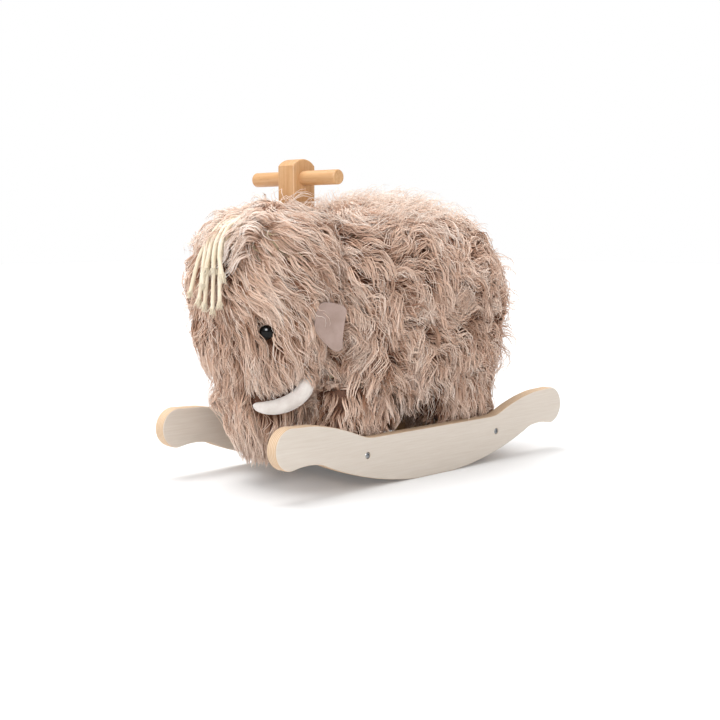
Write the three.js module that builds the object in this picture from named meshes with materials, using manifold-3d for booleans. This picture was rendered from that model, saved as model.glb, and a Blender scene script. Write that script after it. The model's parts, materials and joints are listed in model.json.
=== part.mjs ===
// A plush woolly mammoth on two plywood rockers, as a riding toy for a small child.
// Millimetres, +Z up. The head looks along -Y, the animal's left side is +X, and z = 0 is the floor.
// A plywood and beech frame stands between the rockers. Foam blocks and a long-pile cover hide it.
import * as THREE from 'three';
import { mergeVertices } from 'three/addons/utils/BufferGeometryUtils.js';
import Module from 'manifold-3d';

const wasm = await Module();
wasm.setup();

// ---- Driving dimensions -------------------------------------------------------------------------
const touch = 0.3; // gap left between two pieces that touch

// Rockers
const rockerLength = 600;
const rockerThickness = 18;
const overallWidth = 255; // over the rockers' outer faces
const bellyRadius = 560; // underside arc
const bellyHalfSpan = 205; // from the middle to where the arc ends
const bellyFacets = 5; // the middle facet is the flat that the toy rests on
const hornRadius = 28; // rounded end of a rocker
const hornLift = 33.5; // its centre above the belly's end
const hornTurn = { from: -80, to: 100, step: 15 }; // degrees round the horn, from straight ahead
// The hollow under the horn, from the belly's end: shares of the way out to the horn's centre and up to it.
const throat = [[0.25, 0.2], [0.52, 0.27], [0.75, 0.26]];
const ledgeHeight = 69; // straight top edge between the legs
const ledgeHalfLength = 124;
// The top edge's sweep from the horn down to the ledge, as shares of its run and of its rise.
const ledgeSweep = [
  [0.73, 0.93], [0.61, 0.83], [0.51, 0.73], [0.41, 0.59], [0.31, 0.44], [0.23, 0.29], [0.15, 0.14],
  [0.08, 0.04], [0, 0],
];

// Rails between the rockers, with their bolts and barrel nuts
const railSpacing = 274; // between the two rails' middles
const railWidth = 40; // along Y
const railDepth = 40; // along Z
const railDrop = 23.4; // from the ledge down to the middle of the rail and of its bolts
const boltRadius = 3;
const boltHeadRadius = 4.2;
const boltHeadHeight = 2.6;
const socketDepth = 2.1;
const boltReach = 25; // into the rail
const socketRadius = 2.1; // hexagon socket in a bolt's head
const nutRadius = 5;
const nutLength = 16;
const nutInset = 18; // from the rail's end to the nut's middle

// Seat board and the four posts that carry it
const boardUnderside = 160;
const boardThickness = 15;
const boardSideMargin = 14; // foam left between the board's edge and the cover
const boardRearMargin = 36;
const boardFrontMargin = 1; // behind the neck's seam
const boardNoseMargin = 15; // behind the body's own front, whichever leaves more foam
const boardCorner = 45;
const postWidth = 26; // along X
const postDepth = 28; // along Y
const postInboard = 8; // the post stands this much nearer the middle than its rail
const tenonRadius = 8;
const tenonLength = 15;
const screwRadius = 2.2;
const screwHeadRadius = 4.6;
const screwHeadHeight = 2.8;
const screwRim = 0.5; // straight rim of a countersunk head
const screwPoint = 4; // length of a screw's point
const legScrewLength = 55;

// Handle: an upright through the head, and a round bar across its top
const uprightThickness = 32; // along X
const uprightDepth = 40; // along Y
const uprightArch = 26; // radius of its rounded top, about the bar
const uprightAhead = 11; // its middle ahead of the front rail's middle
const barHeight = 416;
const barRadius = 10;
const barLength = 168;
const barChamfer = 2;
const bracketWidth = 30;
const bracketLeg = 40;
const bracketThickness = 2.5;
const bracketScrewLength = 15;
const bracketScrewSpacing = 16; // across the board
const bracketScrewStagger = 10; // up the upright
const bracketScrewAlong = 26; // from the bracket's corner
const bracketScrewProud = 1.8; // a head's face beyond the bracket's face
const bracketRoom = 2; // hollow that the foam leaves round the bracket

// Body: a box with well rounded edges, measured over the pile
const pile = 14; // backing and matted pile together
const bodySideInset = 3.5; // the body is this much narrower than the rockers on each side
const bodyHalfLength = 208;
const bodyMiddleY = 12;
const bodyBottom = 105;
const bodyTop = 388;
const bodyLevels = 6; // rows of facets above its middle, and as many below
const poleReach = 0.985; // share of a quarter turn at which the body's flat top and bottom begin
const bodyPlanPower = 4;
const backPower = 2.4; // rounding of the upper half
const bellyPower = 6; // rounding of the lower half

// Seam between head and body: a plane that leans back towards its top
const seamY = -110; // at the height of the body's top
const seamLean = 18.6; // degrees

// Head and trunk: one tapering form, measured over the pile
const headHalfWidth = 110;
const headHalfDepth = 91;
const headTop = 388;
const trunkTop = 115; // where the head ends and the trunk begins
const trunkTip = 30;
const headMiddleY = -206;
const headPlanPower = 2.6;
const thinnestCore = 0.45; // most of a narrow row's half width that its cover may take

// Legs
const legInnerX = 40;
const frontLegAhead = 36; // along Y, from the front rail's middle
const frontLegBehind = 80;
const rearLegAhead = 103; // along Y, from the rear rail's middle
const rearLegBehind = 23;
const legOverlap = 27; // how far the leg pads reach up round the body's lower edge
const legPlanPower = 5;

// Face and trimmings
const eyeRadius = 9.5;
const eyeBulge = 0.75; // height of the dome as a share of its radius
const eyeRim = 2;
const eyeShankRadius = 2.5;
const eyeShankSpare = 3; // length of the shank beyond the cover
const washerRadius = 8;
const washerThickness = 2;
const washerInset = 2; // from the shank's end
const earThickness = 5;
const earLength = 48; // from the seam to the rear edge
const earHeight = 62;
const tuskRadius = 11; // at the root
const tuskTaper = 0.8; // share of the radius lost at the tip
const cordRadius = 2.7;
const bindingWidth = 36;
const bindingDepth = 10; // along the cords
const bindingHeight = 13; // over both layers of cords

// ---- Derived places ------------------------------------------------------------------------------
const rockerInner = overallWidth / 2 - rockerThickness;
const railY = railSpacing / 2;
const railHeight = ledgeHeight - railDrop;
const railTop = railHeight + railDepth / 2;
const boardTop = boardUnderside + boardThickness;
const bodyMiddleZ = (bodyBottom + bodyTop) / 2;
const bodyHalfWidth = overallWidth / 2 - bodySideInset;
const legOuterX = rockerInner - 2 * touch;
const legBottom = railTop + 2 * touch;
const legTop = bodyBottom + legOverlap;
const postX = (legInnerX + legOuterX) / 2;
const postY = railY - postInboard;
const boardHalfWidth = bodyHalfWidth - pile - boardSideMargin;
const boardRear = bodyMiddleY + bodyHalfLength - pile - boardRearMargin;
const lean = THREE.MathUtils.degToRad(seamLean);
const seamAtBoard = seamY - (bodyTop - boardTop) * Math.tan(lean);
const boardFront = Math.max(
  seamAtBoard + pile / Math.cos(lean) + boardFrontMargin,
  bodyMiddleY - bodyHalfLength + pile + boardNoseMargin);
const uprightY = -railY - uprightAhead;
const uprightRear = uprightY + uprightDepth / 2;
const eyeShankLength = pile + eyeShankSpare;
const beyond = 2 * rockerLength; // larger than the whole toy
const sides = [['left', 1], ['right', -1]];
const ends = [['front', -1], ['rear', 1]];

// ---- Materials -----------------------------------------------------------------------------------
function finish(color, roughness, metalness = 0) {
  return new THREE.MeshStandardMaterial({ color, roughness, metalness });
}
const plywood = finish(0xddd4c8, 0.7);
const beech = finish(0xdcae7c, 0.55);
const plush = finish(0xc9b0a2, 1);
const foam = finish(0xf1ead8, 0.95);
const suede = finish(0xab978f, 0.95);
const felt = finish(0xe9e3dd, 1);
const cotton = finish(0xf2e8d6, 1);
const eyeBlack = finish(0x0b0908, 0.08);
const steel = finish(0x9c9c9c, 0.35, 1);
const nylon = finish(0x2b2b2b, 0.6);

// ---- Solids: joining and cutting -----------------------------------------------------------------
function solidOf(geometry) {
  const bare = geometry.clone();
  bare.deleteAttribute('normal');
  bare.deleteAttribute('uv');
  const merged = mergeVertices(bare, 1e-4);
  const corners = Array.from(merged.index.array);
  const triangles = [];
  for (let i = 0; i < corners.length; i += 3) {
    const [a, b, c] = corners.slice(i, i + 3);
    if (a !== b && b !== c && c !== a) triangles.push(a, b, c);
  }
  return new wasm.Manifold(new wasm.Mesh({
    numProp: 3,
    vertProperties: Float32Array.from(merged.attributes.position.array),
    triVerts: Uint32Array.from(triangles),
  }));
}

function geometryOf(solid) {
  const mesh = solid.getMesh();
  const geometry = new THREE.BufferGeometry();
  geometry.setAttribute('position', new THREE.BufferAttribute(mesh.vertProperties, 3));
  geometry.setIndex(new THREE.BufferAttribute(mesh.triVerts, 1));
  geometry.computeVertexNormals();
  return geometry;
}

function cut(solid, ...tools) {
  return tools.reduce((rest, tool) => rest.subtract(tool), solid);
}

// ---- Basic shapes --------------------------------------------------------------------------------
function box(xs, ys, zs) {
  const geometry = new THREE.BoxGeometry(xs[1] - xs[0], ys[1] - ys[0], zs[1] - zs[0]);
  geometry.translate((xs[0] + xs[1]) / 2, (ys[0] + ys[1]) / 2, (zs[0] + zs[1]) / 2);
  return solidOf(geometry);
}

// A straight round rod from one point to another.
function rod(from, to, radius, segments = 12) {
  const start = new THREE.Vector3(...from);
  const run = new THREE.Vector3(...to).sub(start);
  const geometry = new THREE.CylinderGeometry(radius, radius, run.length(), segments);
  geometry.translate(0, run.length() / 2, 0);
  geometry.applyQuaternion(turnFromY(run.clone().normalize()));
  geometry.translate(start.x, start.y, start.z);
  return solidOf(geometry);
}

function turnFromY(direction) {
  return new THREE.Quaternion().setFromUnitVectors(new THREE.Vector3(0, 1, 0), direction);
}

// A turned piece: a profile of [radius, distance] pairs about an axis from a point along a direction.
function turned(profile, origin, direction, segments = 12) {
  const geometry = new THREE.LatheGeometry(profile.map(([r, h]) => new THREE.Vector2(r, h)), segments);
  geometry.applyQuaternion(turnFromY(new THREE.Vector3(...direction).normalize()));
  geometry.translate(...origin);
  return solidOf(geometry);
}

// Turns a drawing's own X, Y and depth to Y, Z and X.
const drawnFromTheSide = new THREE.Matrix4().makeBasis(
  new THREE.Vector3(0, 1, 0), new THREE.Vector3(0, 0, 1), new THREE.Vector3(1, 0, 0));

// A plate whose outline is drawn in the YZ plane, between two X places.
function sidePlate(outline, xs) {
  const shape = new THREE.Shape(outline.map(([y, z]) => new THREE.Vector2(y, z)));
  const geometry = new THREE.ExtrudeGeometry(shape, { depth: xs[1] - xs[0], bevelEnabled: false });
  geometry.applyMatrix4(drawnFromTheSide);
  geometry.translate(xs[0], 0, 0);
  return solidOf(geometry);
}

// A closed skin over rings of equal count, from the bottom up, each running anticlockwise from above.
function loft(rings) {
  const count = rings[0].length;
  const points = rings.flat();
  const index = [];
  for (let level = 0; level + 1 < rings.length; level += 1) {
    for (let i = 0; i < count; i += 1) {
      const a = level * count + i;
      const b = level * count + (i + 1) % count;
      index.push(a, b, b + count, a, b + count, a + count);
    }
  }
  for (const [level, flip] of [[0, true], [rings.length - 1, false]]) {
    const centre = new THREE.Vector3();
    for (const point of rings[level]) centre.addScaledVector(point, 1 / count);
    points.push(centre);
    const tip = points.length - 1;
    for (let i = 0; i < count; i += 1) {
      const a = level * count + i;
      const b = level * count + (i + 1) % count;
      index.push(...(flip ? [b, a, tip] : [a, b, tip]));
    }
  }
  const geometry = new THREE.BufferGeometry().setFromPoints(points);
  geometry.setIndex(index);
  return solidOf(geometry);
}

// A level ring in the shape of a superellipse.
function ring(middleX, middleY, z, halfX, halfY, power, count) {
  const bend = (v) => Math.sign(v) * Math.abs(v) ** (2 / power);
  return Array.from({ length: count }, (_, i) => {
    const angle = (2 * Math.PI * (i + 0.5)) / count;
    return new THREE.Vector3(
      middleX + halfX * bend(Math.cos(angle)), middleY + halfY * bend(Math.sin(angle)), z);
  });
}

// ---- Soft forms ----------------------------------------------------------------------------------
// The body's outer form, drawn in by an inset on every side.
function bodyForm(inset) {
  const halfHeight = (bodyTop - bodyBottom) / 2 - inset;
  const rings = [];
  for (let level = -bodyLevels; level <= bodyLevels; level += 1) {
    const power = level < 0 ? bellyPower : backPower;
    const angle = (Math.PI / 2) * (level / bodyLevels) * poleReach;
    const height = Math.sign(level) * Math.abs(Math.sin(angle)) ** (2 / power);
    const width = Math.cos(angle) ** (2 / power);
    rings.push(ring(0, bodyMiddleY, bodyMiddleZ + halfHeight * height,
      (bodyHalfWidth - inset) * width, (bodyHalfLength - inset) * width, bodyPlanPower, 28));
  }
  return loft(rings);
}

// Rows of the head, from its top down: share of the head's height, share of the half width,
// share of the half depth, and how far its middle lies behind the head's own middle.
const headRows = [
  [1, 0.2, 0.22, 26], [0.976, 0.38, 0.42, 25], [0.949, 0.52, 0.56, 23], [0.886, 0.71, 0.75, 18],
  [0.832, 0.85, 0.89, 6], [0.773, 0.93, 0.96, 0], [0.678, 1, 1, 0], [0.568, 1, 1, 0],
  [0.476, 0.98, 0.98, 1], [0.348, 0.91, 0.92, 5], [0.256, 0.84, 0.86, 6], [0.165, 0.75, 0.77, 5],
  [0.073, 0.64, 0.66, 0], [0, 0.54, 0.57, -5],
];
// The same for the trunk, from its root down to its tip.
const trunkRows = [
  [1, 0.54, 0.57, -5], [0.76, 0.46, 0.48, -9], [0.53, 0.39, 0.41, -3], [0.29, 0.32, 0.33, 4],
  [0.12, 0.24, 0.25, 15], [0, 0.13, 0.13, 21],
];

// The head or the trunk from its rows, drawn in by an inset. One end is closed: its ring is drawn in too.
function taperedForm(rows, top, bottom, inset, closedEnd) {
  const rings = rows.map(([share, wide, deep, back]) => {
    const z = bottom + share * (top - bottom);
    const halfX = wide * headHalfWidth;
    const halfY = deep * headHalfDepth;
    const wall = Math.min(inset, thinnestCore * Math.min(halfX, halfY));
    return ring(0, headMiddleY + back, z, halfX - wall, halfY - wall, headPlanPower, 24);
  });
  if (closedEnd === 'top') for (const point of rings[0]) point.z -= inset;
  else for (const point of rings[rings.length - 1]) point.z += inset;
  return loft(rings.reverse());
}

function headForm(inset) {
  const rows = headRows.filter((row) => row[0] < 1 - inset / (headTop - trunkTop) || row[0] === 1);
  return taperedForm(rows, headTop, trunkTop, inset, 'top');
}

function trunkForm(inset) {
  return taperedForm(trunkRows, trunkTop - touch, trunkTip, inset, 'bottom');
}

// Everything on one side of the neck seam, from a setback and half of the touching gap onwards.
function seamSide(sign, setback = 0) {
  const geometry = new THREE.BoxGeometry(beyond, beyond, beyond);
  geometry.translate(0, sign * (beyond / 2 + touch / 2 + setback), 0);
  geometry.rotateX(-lean);
  geometry.translate(0, seamY, bodyTop);
  return solidOf(geometry);
}

function legForm(end, side) {
  const ahead = end < 0 ? frontLegAhead : rearLegAhead;
  const behind = end < 0 ? frontLegBehind : rearLegBehind;
  const middleY = end * railY + (behind - ahead) / 2;
  const halfX = (legOuterX - legInnerX) / 2;
  const level = (z) => ring(side * postX, middleY, z, halfX, (ahead + behind) / 2, legPlanPower, 20);
  return loft([level(legBottom), level(legTop)]);
}

// ---- Wooden pieces -------------------------------------------------------------------------------
// One half of a rocker's outline, from the middle of the underside to the middle of the ledge.
function rockerHalfOutline() {
  const points = [];
  const step = (2 * Math.asin(bellyHalfSpan / bellyRadius)) / bellyFacets;
  const flat = bellyRadius * (1 - Math.cos(step / 2)); // how far the arc's ends of the middle facet rise
  for (let k = 0.5; k <= bellyFacets / 2; k += 1) {
    points.push([bellyRadius * Math.sin(k * step), bellyRadius * (1 - Math.cos(k * step)) - flat]);
  }
  const hornY = rockerLength / 2 - hornRadius;
  const hornZ = points[points.length - 1][1] + hornLift;
  for (const [along, up] of throat) {
    points.push([bellyHalfSpan + along * (hornY - bellyHalfSpan), hornZ - (1 - up) * hornLift]);
  }
  for (let angle = hornTurn.from; angle <= hornTurn.to; angle += hornTurn.step) {
    const turn = THREE.MathUtils.degToRad(angle);
    points.push([hornY + hornRadius * Math.cos(turn), hornZ + hornRadius * Math.sin(turn)]);
  }
  const rise = hornZ + hornRadius - ledgeHeight;
  const run = hornY - ledgeHalfLength;
  for (const [along, up] of ledgeSweep) {
    points.push([ledgeHalfLength + along * run, ledgeHeight + up * rise]);
  }
  return points;
}

function boltHole(side, y) {
  const outer = side * (overallWidth / 2);
  const inward = (depth) => outer - side * depth;
  const at = (depth) => [inward(depth), y, railHeight];
  return rod(at(-touch), at(boltHeadHeight + touch), boltHeadRadius + touch)
    .add(rod(at(0), at(rockerThickness + boltReach), boltRadius + touch));
}

function rocker(side) {
  const rearHalf = rockerHalfOutline();
  const frontHalf = rearHalf.map(([y, z]) => [-y, z]).reverse();
  const xs = [rockerInner, overallWidth / 2].map((x) => side * x).sort((a, b) => a - b);
  return cut(sidePlate([...rearHalf, ...frontHalf], xs), boltHole(side, railY), boltHole(side, -railY));
}

function nutBore(side, y) {
  const x = side * (rockerInner - nutInset);
  const top = railHeight + nutLength / 2 + touch;
  return rod([x, y, railHeight - railDepth], [x, y, top], nutRadius + touch);
}

function rail(end) {
  const y = end * railY;
  const reach = rockerInner - touch;
  const blank = box([-reach, reach], [y - railWidth / 2, y + railWidth / 2],
    [railHeight - railDepth / 2, railTop]);
  const holes = sides.flatMap(([, side]) => {
    const [x, postMiddle] = postPlace(side, end);
    const tenonHole = rod([x, postMiddle, railTop - tenonLength - touch], [x, postMiddle, railTop + touch],
      tenonRadius + touch);
    return [boltHole(side, y), nutBore(side, y), tenonHole];
  });
  return cut(blank, ...holes);
}

function bolt(side, y) {
  const head = overallWidth / 2;
  const at = (depth) => [side * (head - depth), y, railHeight];
  const body = rod(at(0), at(boltHeadHeight), boltHeadRadius)
    .add(rod(at(boltHeadHeight / 2), at(rockerThickness + boltReach - touch), boltRadius));
  return cut(body, rod(at(-touch), at(socketDepth), socketRadius, 6));
}

function barrelNut(side, y) {
  const x = side * (rockerInner - nutInset);
  const blank = rod([x, y, railHeight - nutLength / 2], [x, y, railHeight + nutLength / 2], nutRadius);
  return cut(blank, rod([x - 2 * nutRadius, y, railHeight], [x + 2 * nutRadius, y, railHeight],
    boltRadius + touch / 2));
}

function postPlace(side, end) {
  return [side * postX, end * postY];
}

function legPost(side, end) {
  const [x, y] = postPlace(side, end);
  const post = box([x - postWidth / 2, x + postWidth / 2], [y - postDepth / 2, y + postDepth / 2],
    [railTop + touch, boardUnderside - touch]);
  const tenon = rod([x, y, railTop - tenonLength], [x, y, railTop + 2 * touch], tenonRadius);
  return cut(post.add(tenon), screwTunnel([x, y, boardTop], [0, 0, -1], legScrewLength));
}

// A countersunk screw, head first at a point, running along a direction.
function screw(origin, direction, length) {
  return turned([[0, 0], [screwHeadRadius, 0], [screwHeadRadius, screwRim], [screwRadius, screwHeadHeight],
    [screwRadius, length - screwPoint], [0, length]], origin, direction);
}

function screwTunnel(origin, direction, length) {
  const wide = screwHeadRadius + touch;
  const narrow = screwRadius + touch;
  return turned([[0, -touch], [wide, -touch], [wide, screwRim + touch], [narrow, screwHeadHeight + touch],
    [narrow, length - screwPoint + touch], [0, length + touch]], origin, direction);
}

function seatBoard() {
  const shape = new THREE.Shape();
  const [w, r, front, rear] = [boardHalfWidth, boardCorner, boardFront, boardRear];
  shape.moveTo(w - r, front);
  shape.absarc(w - r, front + r, r, -Math.PI / 2, 0);
  shape.absarc(w - r, rear - r, r, 0, Math.PI / 2);
  shape.absarc(r - w, rear - r, r, Math.PI / 2, Math.PI);
  shape.absarc(r - w, front + r, r, Math.PI, 1.5 * Math.PI);
  const geometry = new THREE.ExtrudeGeometry(shape, {
    depth: boardThickness, bevelEnabled: false, curveSegments: 5,
  });
  geometry.translate(0, 0, boardUnderside);
  const screws = sides.flatMap(([, side]) => ends.map(([, end]) => {
    const [x, y] = postPlace(side, end);
    return screwTunnel([x, y, boardTop], [0, 0, -1], legScrewLength);
  }));
  const bracketScrews = bracketScrewPlaces().map((place) => place.tunnel);
  return cut(solidOf(geometry), uprightSlot(), ...screws, ...bracketScrews);
}

// ---- Handle --------------------------------------------------------------------------------------
function uprightOutline(grow) {
  const half = uprightDepth / 2 + grow;
  const arch = uprightArch + grow;
  const foot = railTop + touch - grow;
  const shoulder = Math.acos(half / arch); // angle at which the arch meets the straight sides
  const steps = 9;
  const points = [[uprightY - half, foot], [uprightY + half, foot]];
  for (let k = 0; k <= steps; k += 1) {
    const angle = shoulder + ((Math.PI - 2 * shoulder) * k) / steps;
    points.push([uprightY + arch * Math.cos(angle), barHeight + arch * Math.sin(angle)]);
  }
  return points;
}

function upright() {
  const half = uprightThickness / 2;
  const bore = rod([-uprightThickness, uprightY, barHeight], [uprightThickness, uprightY, barHeight],
    barRadius + touch, 20);
  return cut(sidePlate(uprightOutline(0), [-half, half]), bore,
    ...bracketScrewPlaces().map((place) => place.tunnel));
}

// The space that the upright needs in everything that it passes through.
function uprightSlot() {
  const half = uprightThickness / 2 + touch;
  return sidePlate(uprightOutline(touch), [-half, half]);
}

function handleBar() {
  const half = barLength / 2;
  return turned([[0, -half], [barRadius - barChamfer, -half], [barRadius, barChamfer - half],
    [barRadius, half - barChamfer], [barRadius - barChamfer, half], [0, half]],
  [0, uprightY, barHeight], [1, 0, 0], 20);
}

// The angle bracket stands on the seat board behind the upright.
const bracketFoot = boardTop + touch;
const bracketFace = uprightRear + touch;

function bracket() {
  const xs = [-bracketWidth / 2, bracketWidth / 2];
  const from = (start, length) => [start, start + length];
  const flat = box(xs, from(bracketFace, bracketLeg), from(bracketFoot, bracketThickness));
  const tall = box(xs, from(bracketFace, bracketThickness), from(bracketFoot, bracketLeg));
  return cut(flat.add(tall), ...bracketScrewPlaces().map((place) => place.tunnel));
}

function bracketScrewPlaces() {
  const outer = bracketThickness + bracketScrewProud;
  return [-1, 1].flatMap((side) => {
    const x = (side * bracketScrewSpacing) / 2;
    const up = bracketScrewAlong + (side * bracketScrewStagger) / 2;
    const board = [x, bracketFace + bracketScrewAlong, bracketFoot + outer];
    const post = [x / 2, bracketFace + outer, bracketFoot + up];
    return [
      { name: `board_${side > 0 ? 'left' : 'right'}`, origin: board, direction: [0, 0, -1] },
      { name: `post_${side > 0 ? 'upper' : 'lower'}`, origin: post, direction: [0, -1, 0] },
    ];
  }).map((place) => ({ ...place, tunnel: screwTunnel(place.origin, place.direction, bracketScrewLength) }));
}

// The hollow that the foam leaves for the bracket and its screw heads.
function bracketPocket() {
  const half = bracketWidth / 2 + bracketRoom;
  return box([-half, half], [uprightRear - touch, bracketFace + bracketLeg + bracketRoom],
    [boardTop - touch, bracketFoot + bracketLeg + bracketRoom]);
}

// ---- Soft pieces ---------------------------------------------------------------------------------
function postHoles() {
  return sides.flatMap(([, side]) => ends.map(([, end]) => {
    const [x, y] = postPlace(side, end);
    return box([x - postWidth / 2 - touch, x + postWidth / 2 + touch],
      [y - postDepth / 2 - touch, y + postDepth / 2 + touch], [0, boardTop]);
  }));
}

// Everything between two heights.
function slab(low, high) {
  return box([-beyond, beyond], [-beyond, beyond], [low, high]);
}

// The inside of the body cover: its own thickness smaller all round, and behind its neck panel.
function bodyInside(gap) {
  return bodyForm(pile + gap).intersect(seamSide(1, pile + gap));
}

function bodyCover() {
  const whole = bodyForm(0).intersect(seamSide(1));
  return cut(whole, bodyInside(0), trunkForm(-touch), uprightSlot(), ...postHoles());
}

function bodyFoam() {
  const block = bodyInside(touch).intersect(slab(boardTop + touch, bodyTop));
  return cut(block, uprightSlot(), bracketPocket());
}

function bellyFoam() {
  const block = bodyInside(touch).intersect(slab(bodyBottom, boardUnderside - touch));
  return cut(block, uprightSlot(), ...postHoles());
}

function headCover(eyes) {
  const shell = cut(headForm(0), headForm(pile)).intersect(seamSide(-1));
  return cut(shell, uprightSlot(), ...eyes.map((eye) => eye.hole));
}

function headFoam(eyes) {
  const block = headForm(pile + touch).intersect(seamSide(-1));
  return cut(block, uprightSlot(), ...eyes.map((eye) => eye.hole));
}

function trunkCover() {
  return cut(trunkForm(0), trunkForm(pile), uprightSlot());
}

function trunkStuffing() {
  return cut(trunkForm(pile + touch), uprightSlot());
}

// A padded leg: cover and stuffing around the post, sitting on the rail against the rocker's inner face.
function leg(end, side) {
  return cut(legForm(end, side), bodyForm(-touch), headForm(-touch), ...postHoles());
}

// ---- Face ----------------------------------------------------------------------------------------
// A place on the head, as shares of its half width, of its half depth ahead of the middle, and of its
// height.
function onHead(wide, ahead, high) {
  return new THREE.Vector3(
    wide * headHalfWidth, headMiddleY - ahead * headHalfDepth, trunkTop + high * (headTop - trunkTop));
}

function mirrored(point, side) {
  return new THREE.Vector3(side * point.x, point.y, point.z);
}

// An eye button: a glossy dome on a shank that a washer holds inside the head.
const eyeSeat = onHead(0.664, 0.67, 0.368);
const eyeOutward = new THREE.Vector3(0.59, -0.77, -0.25).normalize();

function eye(side) {
  const place = [mirrored(eyeSeat, side).toArray(), mirrored(eyeOutward, side).toArray()];
  const dome = [];
  for (let angle = 0; angle < 90; angle += 15) {
    const turn = THREE.MathUtils.degToRad(angle);
    dome.push([eyeRadius * Math.cos(turn), eyeRadius * eyeBulge * Math.sin(turn)]);
  }
  const shank = [[0, -eyeShankLength], [eyeShankRadius, -eyeShankLength], [eyeShankRadius, -eyeRim],
    [eyeRadius, -eyeRim]];
  const inner = eyeShankRadius + touch;
  const washerBack = washerInset - eyeShankLength;
  const washerFront = washerBack + washerThickness;
  const washerProfile = [[inner, washerBack], [washerRadius, washerBack], [washerRadius, washerFront],
    [inner, washerFront], [inner, washerBack]];
  const holeProfile = [[0, -eyeShankLength - touch], [washerRadius + touch, -eyeShankLength - touch],
    [washerRadius + touch, washerFront + touch], [inner, washerFront + touch], [inner, -eyeRim - touch],
    [eyeRadius + touch, -eyeRim - touch], [eyeRadius + touch, 2 * pile], [0, 2 * pile]];
  return {
    button: turned([...shank, ...dome, [0, eyeRadius * eyeBulge]], ...place),
    washer: turned(washerProfile, ...place),
    hole: turned(holeProfile, ...place),
  };
}

// An ear: a flat leaf with a straight rear edge, sewn along its front edge, lying back over the shoulder.
const earSeam = onHead(0.94, 0.066, 0.392);
const earLean = 10; // degrees outward from upright, towards its top
const earSpread = 14; // degrees outward from straight back
const earLeft = new THREE.Matrix4()
  .makeTranslation(earSeam)
  .multiply(new THREE.Matrix4().makeRotationY(THREE.MathUtils.degToRad(earLean)))
  .multiply(new THREE.Matrix4().makeRotationZ(THREE.MathUtils.degToRad(-earSpread)));

function ear(side) {
  const at = (back, up) => [back * earLength, (up * earHeight) / 2];
  const shape = new THREE.Shape();
  shape.moveTo(...at(0, 0.3));
  shape.bezierCurveTo(...at(-0.02, 0.8), ...at(0.02, 1.1), ...at(0.28, 1.06));
  shape.bezierCurveTo(...at(0.5, 1.04), ...at(0.84, 1.02), ...at(0.88, 0.74));
  shape.bezierCurveTo(...at(0.9, 0.4), ...at(0.87, -0.3), ...at(0.86, -0.8));
  shape.bezierCurveTo(...at(0.85, -1.06), ...at(0.7, -1.12), ...at(0.58, -0.98));
  shape.bezierCurveTo(...at(0.35, -0.75), ...at(0.08, -0.35), ...at(0, 0));
  const geometry = new THREE.ExtrudeGeometry(shape, {
    depth: earThickness, bevelEnabled: false, curveSegments: 6,
  });
  geometry.applyMatrix4(drawnFromTheSide);
  geometry.applyMatrix4(earLeft);
  const leaf = cut(solidOf(geometry), headForm(-touch));
  return side > 0 ? leaf : leaf.mirror([1, 0, 0]);
}

// A tusk: a stuffed felt crescent, sewn on at the cheek and curving round in front of the trunk.
const tuskRoot = onHead(0.755, -0.033, 0.147);
const tuskRoute = [ // from its root
  [0, 0, 0], [-1, -9, -20], [-9, -23, -33], [-23, -37, -40], [-36, -49, -41], [-47, -57, -38],
];

function tusk(side) {
  const curve = new THREE.CatmullRomCurve3(
    tuskRoute.map((offset) => mirrored(new THREE.Vector3(...offset).add(tuskRoot), side)));
  const steps = 10;
  const count = 12;
  const frames = curve.computeFrenetFrames(steps, false);
  const rings = frames.normals.map((normal, i) => {
    const t = i / steps;
    const radius = tuskRadius * (1 - tuskTaper * t ** 4);
    const middle = curve.getPointAt(t);
    return Array.from({ length: count }, (_, k) => {
      const angle = (2 * Math.PI * k) / count;
      return middle.clone()
        .addScaledVector(normal, radius * Math.cos(angle))
        .addScaledVector(frames.binormals[i], radius * Math.sin(angle));
    });
  });
  return cut(loft(rings), headForm(-touch), trunkForm(-touch));
}

// ---- Forelock: two layers of cotton cords, bound by a felt strip on top of the forehead ----------
const bindingMiddle = onHead(0.1636, 0.5846, 0.9051);
const bindingTilt = 32; // degrees down towards the face
const cordRoutes = {
  under: [
    [[6, -263.4, 357.5], [3.3, -273.6, 352], [-0.3, -284.6, 345.8],
      [-9.3, -298, 328.5], [-18.8, -302.5, 310], [-39, -301.7, 266]],
    [[12.1, -263.4, 357.5], [10.1, -273.6, 352], [7.5, -284.6, 345.8],
      [0.8, -298, 328.5], [-6.1, -302.5, 310], [-21, -301.7, 256]],
    [[18.2, -263.4, 357.5], [16.6, -273.6, 352], [14.4, -284.6, 345.8],
      [9, -298, 328.5], [3.2, -302.5, 310], [-9, -301.7, 251]],
    [[24.3, -263.4, 357.5], [23.3, -273.6, 352], [21.9, -284.6, 345.8],
      [18.4, -298, 328.5], [14.8, -302.5, 310], [7, -301.7, 245]],
    [[30.4, -263.4, 357.5], [29.9, -273.6, 352], [29.2, -284.6, 345.8],
      [27.5, -298, 328.5], [25.8, -302.5, 310], [22, -301.7, 254]],
  ],
  over: [
    [[9, -267.1, 363.5], [8.2, -277.2, 358.2], [7, -289.4, 351.4],
      [4.2, -304.2, 332.4], [1.3, -309.5, 311], [-5, -308.7, 277]],
    [[15.2, -267.1, 363.5], [14.6, -277.2, 358.2], [13.8, -289.4, 351.4],
      [11.7, -304.2, 332.4], [9.6, -309.5, 311], [5, -309.2, 298]],
    [[21.4, -267.1, 363.5], [21.3, -277.2, 358.2], [21.2, -289.4, 351.4],
      [20.9, -304.2, 332.4], [20.6, -309.5, 311], [20, -309.2, 298]],
    [[27.6, -267.1, 363.5], [28.2, -277.2, 358.2], [28.9, -289.4, 351.4],
      [30.8, -304.2, 332.4], [32.8, -309.5, 311], [37, -309.2, 291]],
  ],
};

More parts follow.
